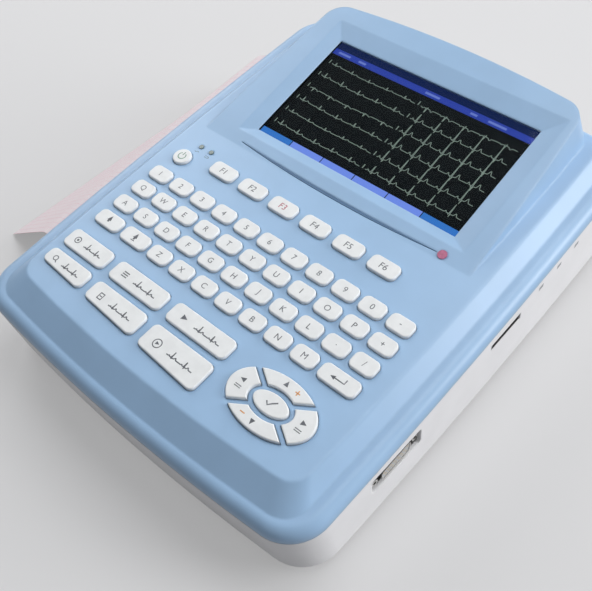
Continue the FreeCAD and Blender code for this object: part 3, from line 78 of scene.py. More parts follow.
# The chart paper, and the roller and slot that lead it out; the solid it stands for is a little thicker
PAPER_FRONT = -0.1010078
PAPER_WIDTH = 0.21
PAPER_LEVEL = -0.0029
PAPER_SLANT = 0.009
PAPER_CURVE = 0.025
PAPER_LIFT = 0.0003
PAPER_SHEET = 0.0002
SOLID_SHEET = 0.0003
PACK_LEVEL = -0.0234268
ROLLER_INSET = 0.013
ROLLER_RADIUS = 0.0073

# Heights of thin layers above what carries them
INK_LIFT = 0.00004
PICTURE_LIFT = 0.00010
TRACE_LIFT = 0.00016
FLOOR_DROP = 0.0003

# Widths of printed lines
FINE_LINE = 0.0005
INK_LINE = 0.0006
BOLD_LINE = 0.0007

# Directions in the plane of a flat shape
RIGHT = 0.0
UP = math.pi / 2
LEFT = math.pi
DOWN = -math.pi / 2
FULL_TURN = 2 * math.pi


# Frames

def on_deck(u, v, w):
    """Points of the tilted deck: turned about X by the tilt, then raised to the seam."""
    y = v * math.cos(TILT) - w * math.sin(TILT)
    z = SEAM + v * math.sin(TILT) + w * math.cos(TILT)
    return np.stack([BODY_X + u, y, z], axis=-1)


def on_slope(x, s, h):
    """Points of the screen's plane: turned about the crease by the slope, then placed on the deck."""
    v = CREASE + s * math.cos(SCREEN_SLOPE) - h * math.sin(SCREEN_SLOPE)
    w = DECK_RISE + s * math.sin(SCREEN_SLOPE) + h * math.cos(SCREEN_SLOPE)
    return on_deck(x, v, w)


def middle(node_name):
    """The middle of a node's box."""
    low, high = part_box(node_name)
    return [(low[axis] + high[axis]) / 2 for axis in range(3)]


def deck_middle(node_name):
    """The middle of a node's box in the deck's own plane: the tilt undone."""
    x, y, z = middle(node_name)
    return x - BODY_X, y * math.cos(TILT) + (z - SEAM) * math.sin(TILT)


def node_width(node_name):
    """A node's size along X."""
    low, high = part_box(node_name)
    return high[0] - low[0]


def panel_level():
    """The panel's face below the sloping plane: its highest point against the plane's at the same edge."""
    edge = on_slope(0.0, SCREEN_FRONT + SCREEN_DEPTH + PANEL_MARGIN, 0.0)
    return (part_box("lcd_panel")[1][2] - edge[2]) / math.cos(TILT + SCREEN_SLOPE)


# Meshes

def grid_faces(rows, columns):
    """Quads of a grid whose points run along its columns first: each point with its next three neighbours."""
    first = (np.arange(rows - 1)[:, None] * columns + np.arange(columns - 1)).ravel()
    return np.stack([first, first + 1, first + columns + 1, first + columns], axis=1)


def piece(name, points, faces, material, body, uv=None):
    """A mesh object at the origin that rides on a body and takes its finish from a slot."""
    mesh = bpy.data.meshes.new(name)
    mesh.from_pydata(points.reshape(-1, 3).tolist(), [], faces.tolist())
    if uv is not None:
        corners = np.empty(len(mesh.loops), dtype=np.int32)
        mesh.loops.foreach_get("vertex_index", corners)
        layer = mesh.uv_layers.new(name="strip")
        layer.data.foreach_set("uv", uv.reshape(-1, 2)[corners].astype(np.float32).ravel())
    mesh.validate()
    mesh.materials.append(material)
    thing = bpy.data.objects.new(name, mesh)
    bpy.context.scene.collection.objects.link(thing)
    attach(thing, body)
    return thing


def merged(shapes):
    """Several shapes, each points and faces, as one: the faces count on from the points before."""
    starts = np.cumsum([0] + [len(points) for points, _ in shapes[:-1]])
    points = np.concatenate([points for points, _ in shapes])
    faces = np.concatenate([faces + start for (_, faces), start in zip(shapes, starts)])
    return points, faces


def moved(shape, x, y):
    """A flat shape shifted in its plane."""
    points, faces = shape
    return points + np.array([x, y]), faces


def ribbon(path, width, closed=False):
    """A band along a flat path: each point steps half the width to both sides, across the path."""
    path = np.asarray(path, dtype=float)
    if closed:
        along = np.roll(path, -1, axis=0) - np.roll(path, 1, axis=0)
    else:
        along = np.gradient(path, axis=0)
    along = along / np.linalg.norm(along, axis=1)[:, None]
    across = np.stack([-along[:, 1], along[:, 0]], axis=1) * width / 2
    points = np.concatenate([path + across, path - across])
    count = len(path)
    near = np.arange(count if closed else count - 1)
    far = (near + 1) % count
    lower = np.stack([near + count, far + count, far], axis=1)
    upper = np.stack([near + count, far, near], axis=1)
    return points, np.concatenate([lower, upper])


def fan(outline):
    """A filled outline: triangles from its first point to each following edge."""
    points = np.asarray(outline, dtype=float)
    edge = np.arange(1, len(points) - 1)
    return points, np.stack([np.zeros_like(edge), edge, edge + 1], axis=1)


def bar(width, height):
    """A filled rectangle about the origin."""
    x = width / 2
    y = height / 2
    return fan([(-x, -y), (x, -y), (x, y), (-x, y)])


def bar_frame(width, height, line):
    """The outline of a rectangle about the origin, drawn with a line."""
    sides = [moved(bar(width, line), 0, side * (height - line) / 2) for side in (-1, 1)]
    ends = [moved(bar(line, height - 2 * line), side * (width - line) / 2, 0) for side in (-1, 1)]
    return merged(sides + ends)


def arc(radius, start, end, count=24):
    """Points on a circle about the origin between two angles."""
    angle = np.linspace(start, end, count)
    return np.stack([radius * np.cos(angle), radius * np.sin(angle)], axis=1)


def circle(radius, sides):
    """Points all around a circle about the origin, none of them twice."""
    return arc(radius, 0, FULL_TURN, sides + 1)[:-1]


def ring(radius, width):
    """A circular band."""
    return ribbon(circle(radius, 32), width, closed=True)


def disc(radius):
    """A filled circle."""
    return fan(circle(radius, 24))


def triangle(length, turn):
    """A filled arrow head about the origin, its tip at the turn angle and its two wings swept back."""
    sweep = 2.3
    angle = turn + np.array([0, sweep, -sweep])
    return fan(np.stack([length * np.cos(angle), length * np.sin(angle)], axis=1))


def letter(text, height):
    """Plain characters as filled triangles, centred on the origin."""
    curve = bpy.data.curves.new("letter", "FONT")
    curve.body = text
    curve.size = height
    carrier = bpy.data.objects.new("letter", curve)
    mesh = bpy.data.meshes.new_from_object(carrier)
    mesh.calc_loop_triangles()
    points = np.empty(len(mesh.vertices) * 3)
    mesh.vertices.foreach_get("co", points)
    faces = np.empty(len(mesh.loop_triangles) * 3, dtype=np.int32)
    mesh.loop_triangles.foreach_get("vertices", faces)
    bpy.data.objects.remove(carrier)
    bpy.data.curves.remove(curve)
    bpy.data.meshes.remove(mesh)
    points = points.reshape(-1, 3)[:, :2]
    centre = (points.min(0) + points.max(0)) / 2
    return points - centre, faces.reshape(-1, 3)


def heart_beat(beat):
    """One heart beat over a phase from 0 to 1: five bell curves for the waves P, Q, R, S and T, added."""
    centres = np.array([0.20, 0.365, 0.40, 0.435, 0.66])
    spreads = np.array([0.030, 0.012, 0.014, 0.014, 0.055])
    heights = np.array([0.14, -0.14, 1.0, -0.28, 0.26])
    phase = np.mod(np.asarray(beat), 1.0)[..., None]
    return (heights * np.exp(-((phase - centres) / spreads) ** 2)).sum(-1)


# Materials

def shader(name, roughness, metallic=0.0):
    """A new material with its shader; what is the same all over is set on the shader's own sockets."""
    material = bpy.data.materials.new(name)
    material.use_nodes = True
    principled = material.node_tree.nodes["Principled BSDF"]
    principled.inputs["Roughness"].default_value = roughness
    principled.inputs["Metallic"].default_value = metallic
    return material, principled


def node(owner, kind, **settings):
    """A node of a material or of the sky, with its plain settings."""
    made = owner.node_tree.nodes.new(kind)
    for setting, value in settings.items():
        setattr(made, setting, value)
    return made


def link(owner, source, target):
    """A link between two sockets."""
    owner.node_tree.links.new(source, target)


def noise(material, scale, detail=3.0, stretch=(1, 1, 1)):
    """Noise over the object's own coordinates, in cells per metre, stretched along its axes."""
    place = node(material, "ShaderNodeTexCoord")
    mapping = node(material, "ShaderNodeMapping")
    mapping.inputs["Scale"].default_value = stretch
    cloud = node(material, "ShaderNodeTexNoise")
    cloud.inputs["Scale"].default_value = scale
    cloud.inputs["Detail"].default_value = detail
    link(material, place.outputs["Object"], mapping.inputs["Vector"])
    link(material, mapping.outputs["Vector"], cloud.inputs["Vector"])
    return cloud.outputs["Fac"]


def tint(material, principled, factor, dark, light, low=0.35, high=0.65):
    """Base colour between two tints, by a factor."""
    ramp = node(material, "ShaderNodeValToRGB")
    ramp.color_ramp.elements[0].position = low
    ramp.color_ramp.elements[1].position = high
    ramp.color_ramp.elements[0].color = (*dark, 1)
    ramp.color_ramp.elements[1].color = (*light, 1)
    link(material, factor, ramp.inputs["Fac"])
    link(material, ramp.outputs["Color"], principled.inputs["Base Color"])


def between(owner, factor, low, high):
    """A value between two limits, by a factor."""
    span = node(owner, "ShaderNodeMapRange")
    span.inputs["To Min"].default_value = low
    span.inputs["To Max"].default_value = high
    link(owner, factor, span.inputs["Value"])
    return span.outputs["Result"]


def gloss(material, principled, factor, low, high):
    """Roughness between two values, by a factor."""
    link(material, between(material, factor, low, high), principled.inputs["Roughness"])


def grain(material, principled, factor, depth, edge=0.0):
    """A fine relief from a factor, its depth in metres; an edge above 0 is the radius of softened edges."""
    relief = node(material, "ShaderNodeBump")
    relief.inputs["Strength"].default_value = 1.0
    relief.inputs["Distance"].default_value = depth
    if edge > 0:
        soft_edge = node(material, "ShaderNodeBevel", samples=6)
        soft_edge.inputs["Radius"].default_value = edge
        link(material, soft_edge.outputs["Normal"], relief.inputs["Normal"])
    link(material, factor, relief.inputs["Height"])
    link(material, relief.outputs["Normal"], principled.inputs["Normal"])


def shaded(colour, share):
    """A colour times a share."""
    return tuple(share * value for value in colour)


def glow(principled, colour, strength):
    """Light that a surface gives off by itself."""
    principled.inputs["Emission Color"].default_value = (*colour, 1)
    principled.inputs["Emission Strength"].default_value = strength


def moulded(name, colour, roughness, spread=0.05, cloud=35, pores=2600, depth=0.00001, metallic=0.0,
            stretch=(1, 1, 1), edge=0.0):
    """A moulded or worked surface: slow clouds in its colour, uneven gloss and a fine grain."""
    uneven = 0.06
    material, principled = shader(name, roughness, metallic)
    slow = noise(material, cloud)
    fine = noise(material, pores, detail=2.0, stretch=stretch)
    tint(material, principled, slow, shaded(colour, 1 - spread), shaded(colour, 1 + spread))
    gloss(material, principled, fine, roughness - uneven, roughness + uneven)
    grain(material, principled, fine, depth, edge)
    return material


def ink(name, colour, spread):
    """Dry print: matt, with small clouds in its colour."""
    return moulded(name, colour, 0.6, spread=spread, cloud=400)


def display_face(name, raster, detail, dark, light):
    """The face of a display: hardly shiny, between two tints by a fine raster."""
    material, principled = shader(name, 0.5)
    tint(material, principled, noise(material, raster, detail), dark, light)
    principled.inputs["Specular IOR Level"].default_value = 0.05
    return material, principled


def lit_display(name, colour):
    """Lit dots of a display: a dark face that gives off its own colour."""
    material, principled = display_face(name, 1500, 0.0, shaded(colour, 0.02), shaded(colour, 0.06))
    glow(principled, colour, 1.0)
    return material


def unlit_display():
    """The display where nothing is lit: near black, with a faint mottling."""
    material, _ = display_face("unlit_display", 300, 3.0, (0.001, 0.003, 0.004), (0.004, 0.007, 0.008))
    return material


def window_plastic():
    """The clear window: polished, low in reflection, with faint smears in its gloss."""
    material, principled = shader("window_plastic", 0.04)
    principled.inputs["Base Color"].default_value = (0.92, 0.95, 1.0, 1)
    principled.inputs["Transmission Weight"].default_value = 1.0
    principled.inputs["IOR"].default_value = 1.16
    gloss(material, principled, noise(material, 60), 0.015, 0.06)
    return material


def lens(name, colour, strength):
    """A tinted lamp lens: glossy, with a soft mottling and a little light of its own."""
    mottling = 0.15
    material, principled = shader(name, 0.22)
    dark = shaded(colour, 1 - mottling)
    light = shaded(colour, 1 + mottling)
    tint(material, principled, noise(material, 700), dark, light)
    glow(principled, colour, strength)
    principled.inputs["Coat Weight"].default_value = 0.5
    return material


def ruled_paper():
    """Chart paper: pale fibres under a ruling of 1 mm, heavier lines each 5 mm and a fold each 140 mm."""
    material, principled = shader("ruled_paper", 0.85)
    strip = node(material, "ShaderNodeUVMap", uv_map="strip")
    parts = node(material, "ShaderNodeSeparateXYZ")
    link(material, strip.outputs["UV"], parts.inputs["Vector"])

    def lines(axis, pitch, width):
        """1 on lines a pitch apart: the distance to the nearest line is less than half their width."""
        away = node(material, "ShaderNodeMath", operation="PINGPONG")
        away.inputs[1].default_value = pitch / 2
        on_line = node(material, "ShaderNodeMath", operation="LESS_THAN")
        on_line.inputs[1].default_value = width / 2
        link(material, parts.outputs[axis], away.inputs[0])
        link(material, away.outputs["Value"], on_line.inputs[0])
        return on_line.outputs["Value"]

    def layered(below, mask, colour, share):
        """A colour laid over another one where the mask says so, by a share."""
        weight = node(material, "ShaderNodeMath", operation="MULTIPLY")
        weight.inputs[1].default_value = share
        mix = node(material, "ShaderNodeMix", data_type="RGBA")
        mix.inputs["B"].default_value = (*colour, 1)
        link(material, mask, weight.inputs[0])
        link(material, weight.outputs["Value"], mix.inputs["Factor"])
        link(material, below, mix.inputs["A"])
        return mix.outputs["Result"]

    fibres = node(material, "ShaderNodeValToRGB")
    fibres.color_ramp.elements[0].color = (0.87, 0.80, 0.83, 1)
    fibres.color_ramp.elements[1].color = (0.91, 0.85, 0.87, 1)
    link(material, noise(material, 900), fibres.inputs["Fac"])
    surface = fibres.outputs["Color"]
    for axis in ("X", "Y"):
        surface = layered(surface, lines(axis, 0.001, 0.00014), (0.82, 0.46, 0.54), 0.4)
        surface = layered(surface, lines(axis, 0.005, 0.00028), (0.76, 0.34, 0.43), 0.5)
    surface = layered(surface, lines("Y", 0.14, 0.0006), (0.55, 0.50, 0.52), 0.6)
    link(material, surface, principled.inputs["Base Color"])
    grain(material, principled, noise(material, 2200), 0.000015)
    return material


def folded_paper():
    """The edges of a fan-fold pack: thin bands in the deck's plane, lighter and darker, a little uneven."""
    material, principled = shader("folded_paper", 0.9)
    place = node(material, "ShaderNodeTexCoord")
    mapping = node(material, "ShaderNodeMapping")
    mapping.inputs["Rotation"].default_value = (-TILT, 0, 0)
    bands = node(material, "ShaderNodeTexWave", wave_type="BANDS", bands_direction="Z")
    bands.inputs["Scale"].default_value = 420
    bands.inputs["Distortion"].default_value = 1.5
    link(material, place.outputs["Object"], mapping.inputs["Vector"])
    link(material, mapping.outputs["Vector"], bands.inputs["Vector"])
    tint(material, principled, bands.outputs["Fac"], (0.60, 0.54, 0.56), (0.82, 0.76, 0.78), 0.2, 0.8)
    grain(material, principled, bands.outputs["Fac"], 0.00005)
    return material


def direct_sight(owner):
    """1 for a ray from the camera, a reflection or a clear piece, 0 for light on its way to the object."""
    path = node(owner, "ShaderNodeLightPath")
    seen = path.outputs["Is Camera Ray"]
    for ray in ("Is Glossy Ray", "Is Transmission Ray"):
        either = node(owner, "ShaderNodeMath", operation="MAXIMUM")
        link(owner, seen, either.inputs[0])
        link(owner, path.outputs[ray], either.inputs[1])
        seen = either.outputs["Value"]
    return seen


def floor_paint():
    """The studio floor: pale to the eye and in reflections, darker as a source of bounced light."""
    material, principled = shader("floor_paint", 0.9)
    seen = direct_sight(material)
    tint(material, principled, seen, (0.32, 0.32, 0.33), (0.40, 0.40, 0.41), 0.0, 1.0)
    principled.inputs["Emission Color"].default_value = (1, 1, 1, 1)
    link(material, between(material, seen, 0.0, 0.30), principled.inputs["Emission Strength"])
    return material


FINISHES = {
    "cover_blue": moulded("cover_plastic", (0.335, 0.515, 0.745), 0.36, spread=0.025, edge=0.0022),
    "base_white": moulded("base_plastic", (0.90, 0.90, 0.92), 0.42, spread=0.02, edge=0.0012),
    "key_white": moulded("key_silicone", (0.82, 0.84, 0.85), 0.5, spread=0.03, cloud=160, depth=0.000006),
    "screen_glass": window_plastic(),
    "screen_panel": moulded("panel_frame", (0.012, 0.016, 0.018), 0.5),
    # Painted shade: the divider strip's dark blue stands for the shadow line in the crease where the screen
    # block rises from the deck
    "divider_dark": moulded("divider_painted_shade", (0.085, 0.175, 0.31), 0.4),
    "lamp_red": lens("lamp_red_lens", (0.42, 0.13, 0.22), 0.2),
    "lamp_dark": lens("lamp_dark_lens", (0.06, 0.11, 0.10), 0.02),
    "chart_paper": folded_paper(),
    "roller_rubber": moulded("ground_rubber", (0.16, 0.16, 0.17), 0.75, spread=0.15, depth=0.00003),
    "mat_rubber": moulded("mat_silicone", (0.52, 0.53, 0.56), 0.6),
    "sheet_steel": moulded("zinc_sheet", (0.58, 0.59, 0.61), 0.34, spread=0.08, cloud=90, pores=900,
                           depth=0.000006, metallic=1.0, stretch=(1, 0.05, 1)),
    "socket_metal": moulded("nickel_plate", (0.66, 0.65, 0.63), 0.24, spread=0.06, cloud=120, pores=1800,
                            depth=0.000004, metallic=1.0),
    "gear_nylon": moulded("natural_nylon", (0.74, 0.72, 0.66), 0.5),
    "board_green": moulded("solder_mask", (0.02, 0.15, 0.06), 0.35, spread=0.2, cloud=220, pores=1200,
                           depth=0.00002),
    "black_plastic": moulded("black_moulding", (0.022, 0.022, 0.025), 0.48, spread=0.12),
    "head_ceramic": moulded("heater_ceramic", (0.66, 0.64, 0.60), 0.25),
    "motor_steel": moulded("motor_can", (0.45, 0.46, 0.48), 0.36, spread=0.1, cloud=90, pores=900,
                           depth=0.000008, metallic=1.0, stretch=(1, 0.1, 1)),
    "battery_wrap": moulded("battery_sleeve", (0.03, 0.05, 0.16), 0.3, spread=0.15),
}
legend_ink = ink("legend_ink", (0.13, 0.14, 0.16), 0.25)
red_ink = ink("red_ink", (0.42, 0.10, 0.13), 0.2)
green_ink = ink("green_ink", (0.10, 0.26, 0.17), 0.2)
orange_ink = ink("orange_ink", (0.72, 0.36, 0.14), 0.1)
deck_ink = ink("deck_ink", (0.16, 0.24, 0.33), 0.15)
wall_ink = ink("wall_ink", (0.40, 0.41, 0.43), 0.1)
white_ink = ink("white_ink", (0.80, 0.80, 0.80), 0.05)
display_off = unlit_display()
trace_glow = lit_display("trace_glow", (0.20, 0.26, 0.22))
strip_glow = lit_display("strip_glow", (0.003, 0.012, 0.062))
band_glow = lit_display("band_glow", (0.024, 0.050, 0.330))
mark_glow = lit_display("mark_glow", (0.13, 0.19, 0.52))
field_glow = lit_display("field_glow", (0.15, 0.25, 0.74))
end_field_glow = lit_display("end_field_glow", (0.032, 0.165, 0.52))
brass = moulded("contact_brass", (0.70, 0.52, 0.24), 0.3, spread=0.08, cloud=200, pores=1500,
                depth=0.000004, metallic=1.0)
socket_insert_plastic = moulded("socket_insert_plastic", (0.50, 0.51, 0.53), 0.5)

for part in frame["record"]["subparts"]:
    solid = frame["nodes"][part["node"]]
    solid.data.materials.clear()
    solid.data.materials.append(FINISHES[part["material_slot"]])


# Screen picture

PANEL_LEVEL = panel_level()


def screen_piece(name, shapes, lift, material):
    """Flat shapes on the panel, given from the picture's lower left corner."""
    points, faces = merged(shapes)
    x = SCREEN_X - SCREEN_WIDTH / 2 + points[:, 0]
    place = on_slope(x, SCREEN_FRONT + points[:, 1], PANEL_LEVEL + lift)
    piece(name, place, faces, material, "case")


def across_screen(height, level):
    """A bar over the whole width of the picture, about a level."""
    return moved(bar(SCREEN_WIDTH, height), SCREEN_WIDTH / 2, level)


def lead_trace(left, width, level, start, swing):
    """One lead's trace: heart beats along a width, as high as their swing, and a slow wander. A swing below 0
    turns the beats over."""
    beat_length = 0.0144
    tall = 0.0097
    line = 0.00046
    wander_height = 0.04
    wander_turns = 1.3
    step = np.linspace(0, 1, 260)
    wander = wander_height * np.sin(FULL_TURN * (step * wander_turns + start))
    rise = heart_beat(step * width / beat_length + start) * swing + wander
    return ribbon(np.stack([left + step * width, level + tall * rise], axis=1), line)


def lead_traces():
    """Twelve leads in two columns of six, each with its step of calibration in front."""
    top_level = 0.0685
    row = 0.0114
    step_width = 0.0007
    step_height = 0.28 * row
    step_gap = 0.0022
    # Each column's left end, width, phase at the start, and swings from the top row down
    columns = ((0.006, 0.069, 0.19, (0.30, 0.45, -0.35, 0.40, 0.28, 0.42)),
               (0.0795, 0.0705, 0.0875, (-0.55, 0.95, 1.2, 1.3, 1.15, 0.8)))
    shapes = []
    for left, width, start, swings in columns:
        for i, swing in enumerate(swings):
            level = top_level - i * row
            shapes.append(lead_trace(left, width, level, start, swing))
            shapes.append(moved(bar(step_width, step_height), left - step_gap, level + step_height / 2))
    return shapes


def screen_picture():
    """A dark picture: a navy strip over a blue band above, the leads, and six fields for the keys below."""
    strip = 0.0054
    band = 0.0048
    mark = 0.0016
    footer = 0.0050
    field_count = 6
    field = SCREEN_WIDTH / field_count
    gap = 0.0006
    screen_piece("display_sheet", [across_screen(SCREEN_DEPTH, SCREEN_DEPTH / 2)], PICTURE_LIFT, display_off)
    screen_piece("display_strip", [across_screen(strip, SCREEN_DEPTH - strip / 2)], TRACE_LIFT, strip_glow)
    band_level = SCREEN_DEPTH - strip - band / 2
    screen_piece("display_band", [across_screen(band, band_level)], TRACE_LIFT, band_glow)
    # Each mark's middle and width
    marks = ((0.009, 0.010), (0.024, 0.006), (0.081, 0.011), (0.112, 0.005), (0.129, 0.013))
    mark_bars = [moved(bar(width, mark), x, band_level) for x, width in marks]
    screen_piece("display_marks", mark_bars, TRACE_LIFT + INK_LIFT, mark_glow)
    fields = [moved(bar(field - gap, footer), (i + 0.5) * field, footer / 2) for i in range(field_count)]
    screen_piece("display_fields", fields[1:-1], TRACE_LIFT, field_glow)
    screen_piece("display_end_fields", [fields[0], fields[-1]], TRACE_LIFT, end_field_glow)
    screen_piece("display_traces", lead_traces(), TRACE_LIFT, trace_glow)


# Legends

def legend(name, body, shapes, material=legend_ink, level=KEY_TOP):
    """Ink on one body: flat shapes in the deck's plane, at the level of the key tops or another one."""
    points, faces = merged(shapes)
    place = on_deck(points[:, 0], points[:, 1], level + INK_LIFT)
    piece(name, place, faces, material, body)


def return_mark():
    """An arrow that goes down and back to the left."""
    level = -0.0006
    path = [(0.004, 0.0022), (0.004, level), (0.001, level), (-0.003, level)]
    return merged([ribbon(path, BOLD_LINE), moved(triangle(0.0018, LEFT), -0.0034, level)])


def up_mark(with_bar):
    """A filled arrow that points up, over a short bar or not."""
    shapes = [moved(triangle(0.0022, UP), 0, 0.0010), moved(bar(0.0014, 0.0018), 0, -0.0008)]
    if with_bar:
        shapes.append(moved(bar(0.0030, INK_LINE), 0, -0.0024))
    return merged(shapes)


def row_of_letters(characters, first_x, y):
    """Characters a key's pitch apart."""
    height = 0.0052
    return [moved(letter(sign, height), first_x + i * KEY_PITCH, y) for i, sign in enumerate(characters)]


def full_row_legends():
    """Digits, letters and signs in the middle of the small keys, in the rows that have no other keys."""
    for row, characters in FULL_ROWS.items():
        x, y = deck_middle(row)
        first_x = x - (len(characters) - 1) * KEY_PITCH / 2
        legend(f"legends_{row}", row, row_of_letters(characters, first_x, y))


def last_row_legends():
    """Two arrows on the wide keys at the left, letters, and the return arrow on the wide key at the right."""
    x, y = deck_middle(LAST_ROW)
    left = x - node_width(LAST_ROW) / 2
    right = x + node_width(LAST_ROW) / 2
    space = KEY_PITCH - KEY_WIDTH
    caps_left = left + SHIFT_WIDTH + space
    letters_left = caps_left + CAPS_WIDTH + space
    enter_left = letters_left + len(LAST_ROW_LETTERS) * KEY_PITCH
    shapes = row_of_letters(LAST_ROW_LETTERS, letters_left + KEY_WIDTH / 2, y)
    shapes.append(moved(up_mark(False), left + SHIFT_WIDTH / 2, y))
    shapes.append(moved(up_mark(True), caps_left + CAPS_WIDTH / 2, y))
    shapes.append(moved(return_mark(), (enter_left + right) / 2, y))
    legend(f"legends_{LAST_ROW}", LAST_ROW, shapes)


def function_legends():
    """Plain numbers on the six function keys, the third one in red."""
    height = 0.0058
    for i in range(1, 7):
        key = f"f_key_{i}"
        colour = red_ink if i == 3 else legend_ink
        legend(f"legend_{key}", key, [moved(letter(f"F{i}", height), *deck_middle(key))], colour)


def power_legend():
    """The power sign on the round key: a circle that is open above, and a stroke in the opening."""
    opening = 0.6
    bow = ribbon(arc(0.0026, UP + opening, UP + FULL_TURN - opening), INK_LINE)
    stroke = moved(bar(INK_LINE, 0.0030), 0, 0.0021)
    sign = merged([bow, stroke])
    legend("legend_power", "power_key", [moved(sign, *deck_middle("power_key"))], green_ink)


def beat_mark(width, height):
    """A short stretch of a heart trace, as a thin band about the origin."""
    beats = 2
    lowered = 0.2
    step = np.linspace(0, 1, 90)
    rise = heart_beat(step * beats) - lowered
    return ribbon(np.stack([(step - 0.5) * width, rise * height], axis=1), BOLD_LINE)


def mode_signs():
    """One plain sign for each of the six large keys."""
    target = merged([ring(0.0021, INK_LINE), disc(0.0008)])
    lines = merged([moved(bar(0.0044, BOLD_LINE), 0, y) for y in (-0.0015, 0, 0.0015)])
    arrow = triangle(0.0024, RIGHT)
    glass = moved(ring(0.0016, INK_LINE), -0.0004, 0.0004)
    handle = ribbon([(0.0008, -0.0008), (0.0014, -0.0014), (0.0021, -0.0021)], BOLD_LINE)
    page = merged([bar_frame(0.0036, 0.0046, INK_LINE), bar(0.0018, INK_LINE)])
    start = merged([ring(0.0027, INK_LINE), triangle(0.0015, RIGHT)])
    return [target, lines, arrow, merged([glass, handle]), page, start]


def mode_legends():
    """A sign and a stretch of trace on each large key, placed by shares of its width."""
    sign_aside = 0.27
    trace_aside = 0.13
    trace_share = 0.42
    trace_height = 0.0042
    trace_drop = 0.0006
    for i, sign in enumerate(mode_signs(), start=1):
        key = f"mode_key_{i}"
        x, y = deck_middle(key)
        width = node_width(key)
        trace = beat_mark(trace_share * width, trace_height)
        trace = moved(trace, x + trace_aside * width, y - trace_drop)
        legend(f"legend_{key}", key, [moved(sign, x - sign_aside * width, y), trace])


def pad_legends():
    """Arrow heads on the pad's four keys, small signs beside them, and a tick on its middle key."""
    pad_x, pad_y = deck_middle("ok_key")
    arrow = 0.0020
    side_x = 0.0208
    side_y = 0.0018
    end_x = -0.0008
    end_y = 0.0134
    places = {"right_key": (side_x, side_y, RIGHT), "left_key": (-side_x, side_y, LEFT),
              "up_key": (end_x, end_y, UP), "down_key": (end_x, -end_y, DOWN)}
    for key, (x, y, turn) in places.items():
        legend(f"legend_{key}", key, [moved(triangle(arrow, turn), pad_x + x, pad_y + y)])
    for key, x in (("right_key", side_x), ("left_key", -side_x)):
        lines = [moved(bar(0.0042, FINE_LINE), pad_x + x, pad_y - drop) for drop in (0.0022, 0.0034)]
        legend(f"lines_{key}", key, lines)
    minus = bar(0.0032, BOLD_LINE)
    plus = merged([minus, bar(BOLD_LINE, 0.0032)])
    legend("plus_up_key", "up_key", [moved(plus, pad_x + 0.0072, pad_y + 0.0128)], orange_ink)
    legend("minus_down_key", "down_key", [moved(minus, pad_x - 0.0082, pad_y - 0.0124)], orange_ink)
    tick_line = 0.0008
    tick = ribbon([(-0.0028, 0.0002), (-0.0010, -0.0016), (0.0008, 0.0004), (0.0032, 0.0024)], tick_line)
    legend("legend_ok_key", "ok_key", [moved(tick, pad_x, pad_y)])


def status_marks():
    """A small wave and a small battery printed in front of the two status lamps."""
    x, y = deck_middle("status_lamps")
    pitch = 0.009
    ahead = 0.0046
    wave_reach = 0.0016
    wave_height = 0.0005
    cell_line = 0.0004
    step = np.linspace(-1, 1, 21)
    wave = ribbon(np.stack([wave_reach * step, wave_height * np.sin(math.pi * step)], axis=1), FINE_LINE)
    cell = merged([bar_frame(0.0030, 0.0018, cell_line), moved(bar(cell_line, 0.0008), 0.0017, 0)])
    shapes = [moved(wave, x - pitch / 2, y - ahead), moved(cell, x + pitch / 2, y - ahead)]
    legend("status_marks", "case", shapes, deck_ink, DECK_RISE)


# Chart paper

def paper_point(across, along):
    """The strip's middle surface: straight up from the pack, a quarter turn over the roller, out to the wall,
    an arc down, and the tangent from that arc to the strip's end on the table. Along runs from 0 to 5, one
    unit for each stretch."""
    half_sheet = SOLID_SHEET / 2
    exit_x = BODY_X - HALF_WIDTH
    roller_x = exit_x + ROLLER_INSET
    end_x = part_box("chart_paper")[0][0] + PAPER_SHEET / 2 + PAPER_SLANT * across
    v = PAPER_FRONT + PAPER_WIDTH * across
    y = v * math.cos(TILT) - PAPER_LEVEL * math.sin(TILT)
    seam = SEAM + v * math.sin(TILT)
    under = seam + PAPER_LEVEL * math.cos(TILT)
    level = under + half_sheet
    pack_top = seam + PACK_LEVEL * math.cos(TILT)
    reach = exit_x - end_x
    rest = PAPER_LIFT - under + PAPER_CURVE
    bend = np.arctan2(reach, rest) - np.arccos(PAPER_CURVE / np.hypot(reach, rest))
    done = np.clip(along[..., None] - np.arange(5), 0, 1)
    turn = done[..., 1] * math.pi / 2
    down = done[..., 3] * bend
    small = ROLLER_RADIUS + half_sheet
    large = PAPER_CURVE + half_sheet
    rise_z = pack_top + done[..., 0] * (level - small - pack_top)
    turn_x = roller_x + small * np.cos(turn)
    turn_z = level - small + small * np.sin(turn)
    out_x = roller_x + done[..., 2] * (exit_x - roller_x)
    arc_x = exit_x - large * np.sin(down)
    arc_z = level - large + large * np.cos(down)
    end_z = PAPER_LIFT + half_sheet / np.cos(bend)
    fall_x = arc_x + done[..., 4] * (end_x - arc_x)
    fall_z = arc_z + done[..., 4] * (end_z - arc_z)
    stretches = [along < 1, along < 2, along < 3, along < 4]
    x = np.select(stretches, [roller_x + small, turn_x, out_x, arc_x], fall_x)
    z = np.select(stretches, [rise_z, turn_z, level, arc_z], fall_z)
    return np.stack([x, y, z], axis=-1)


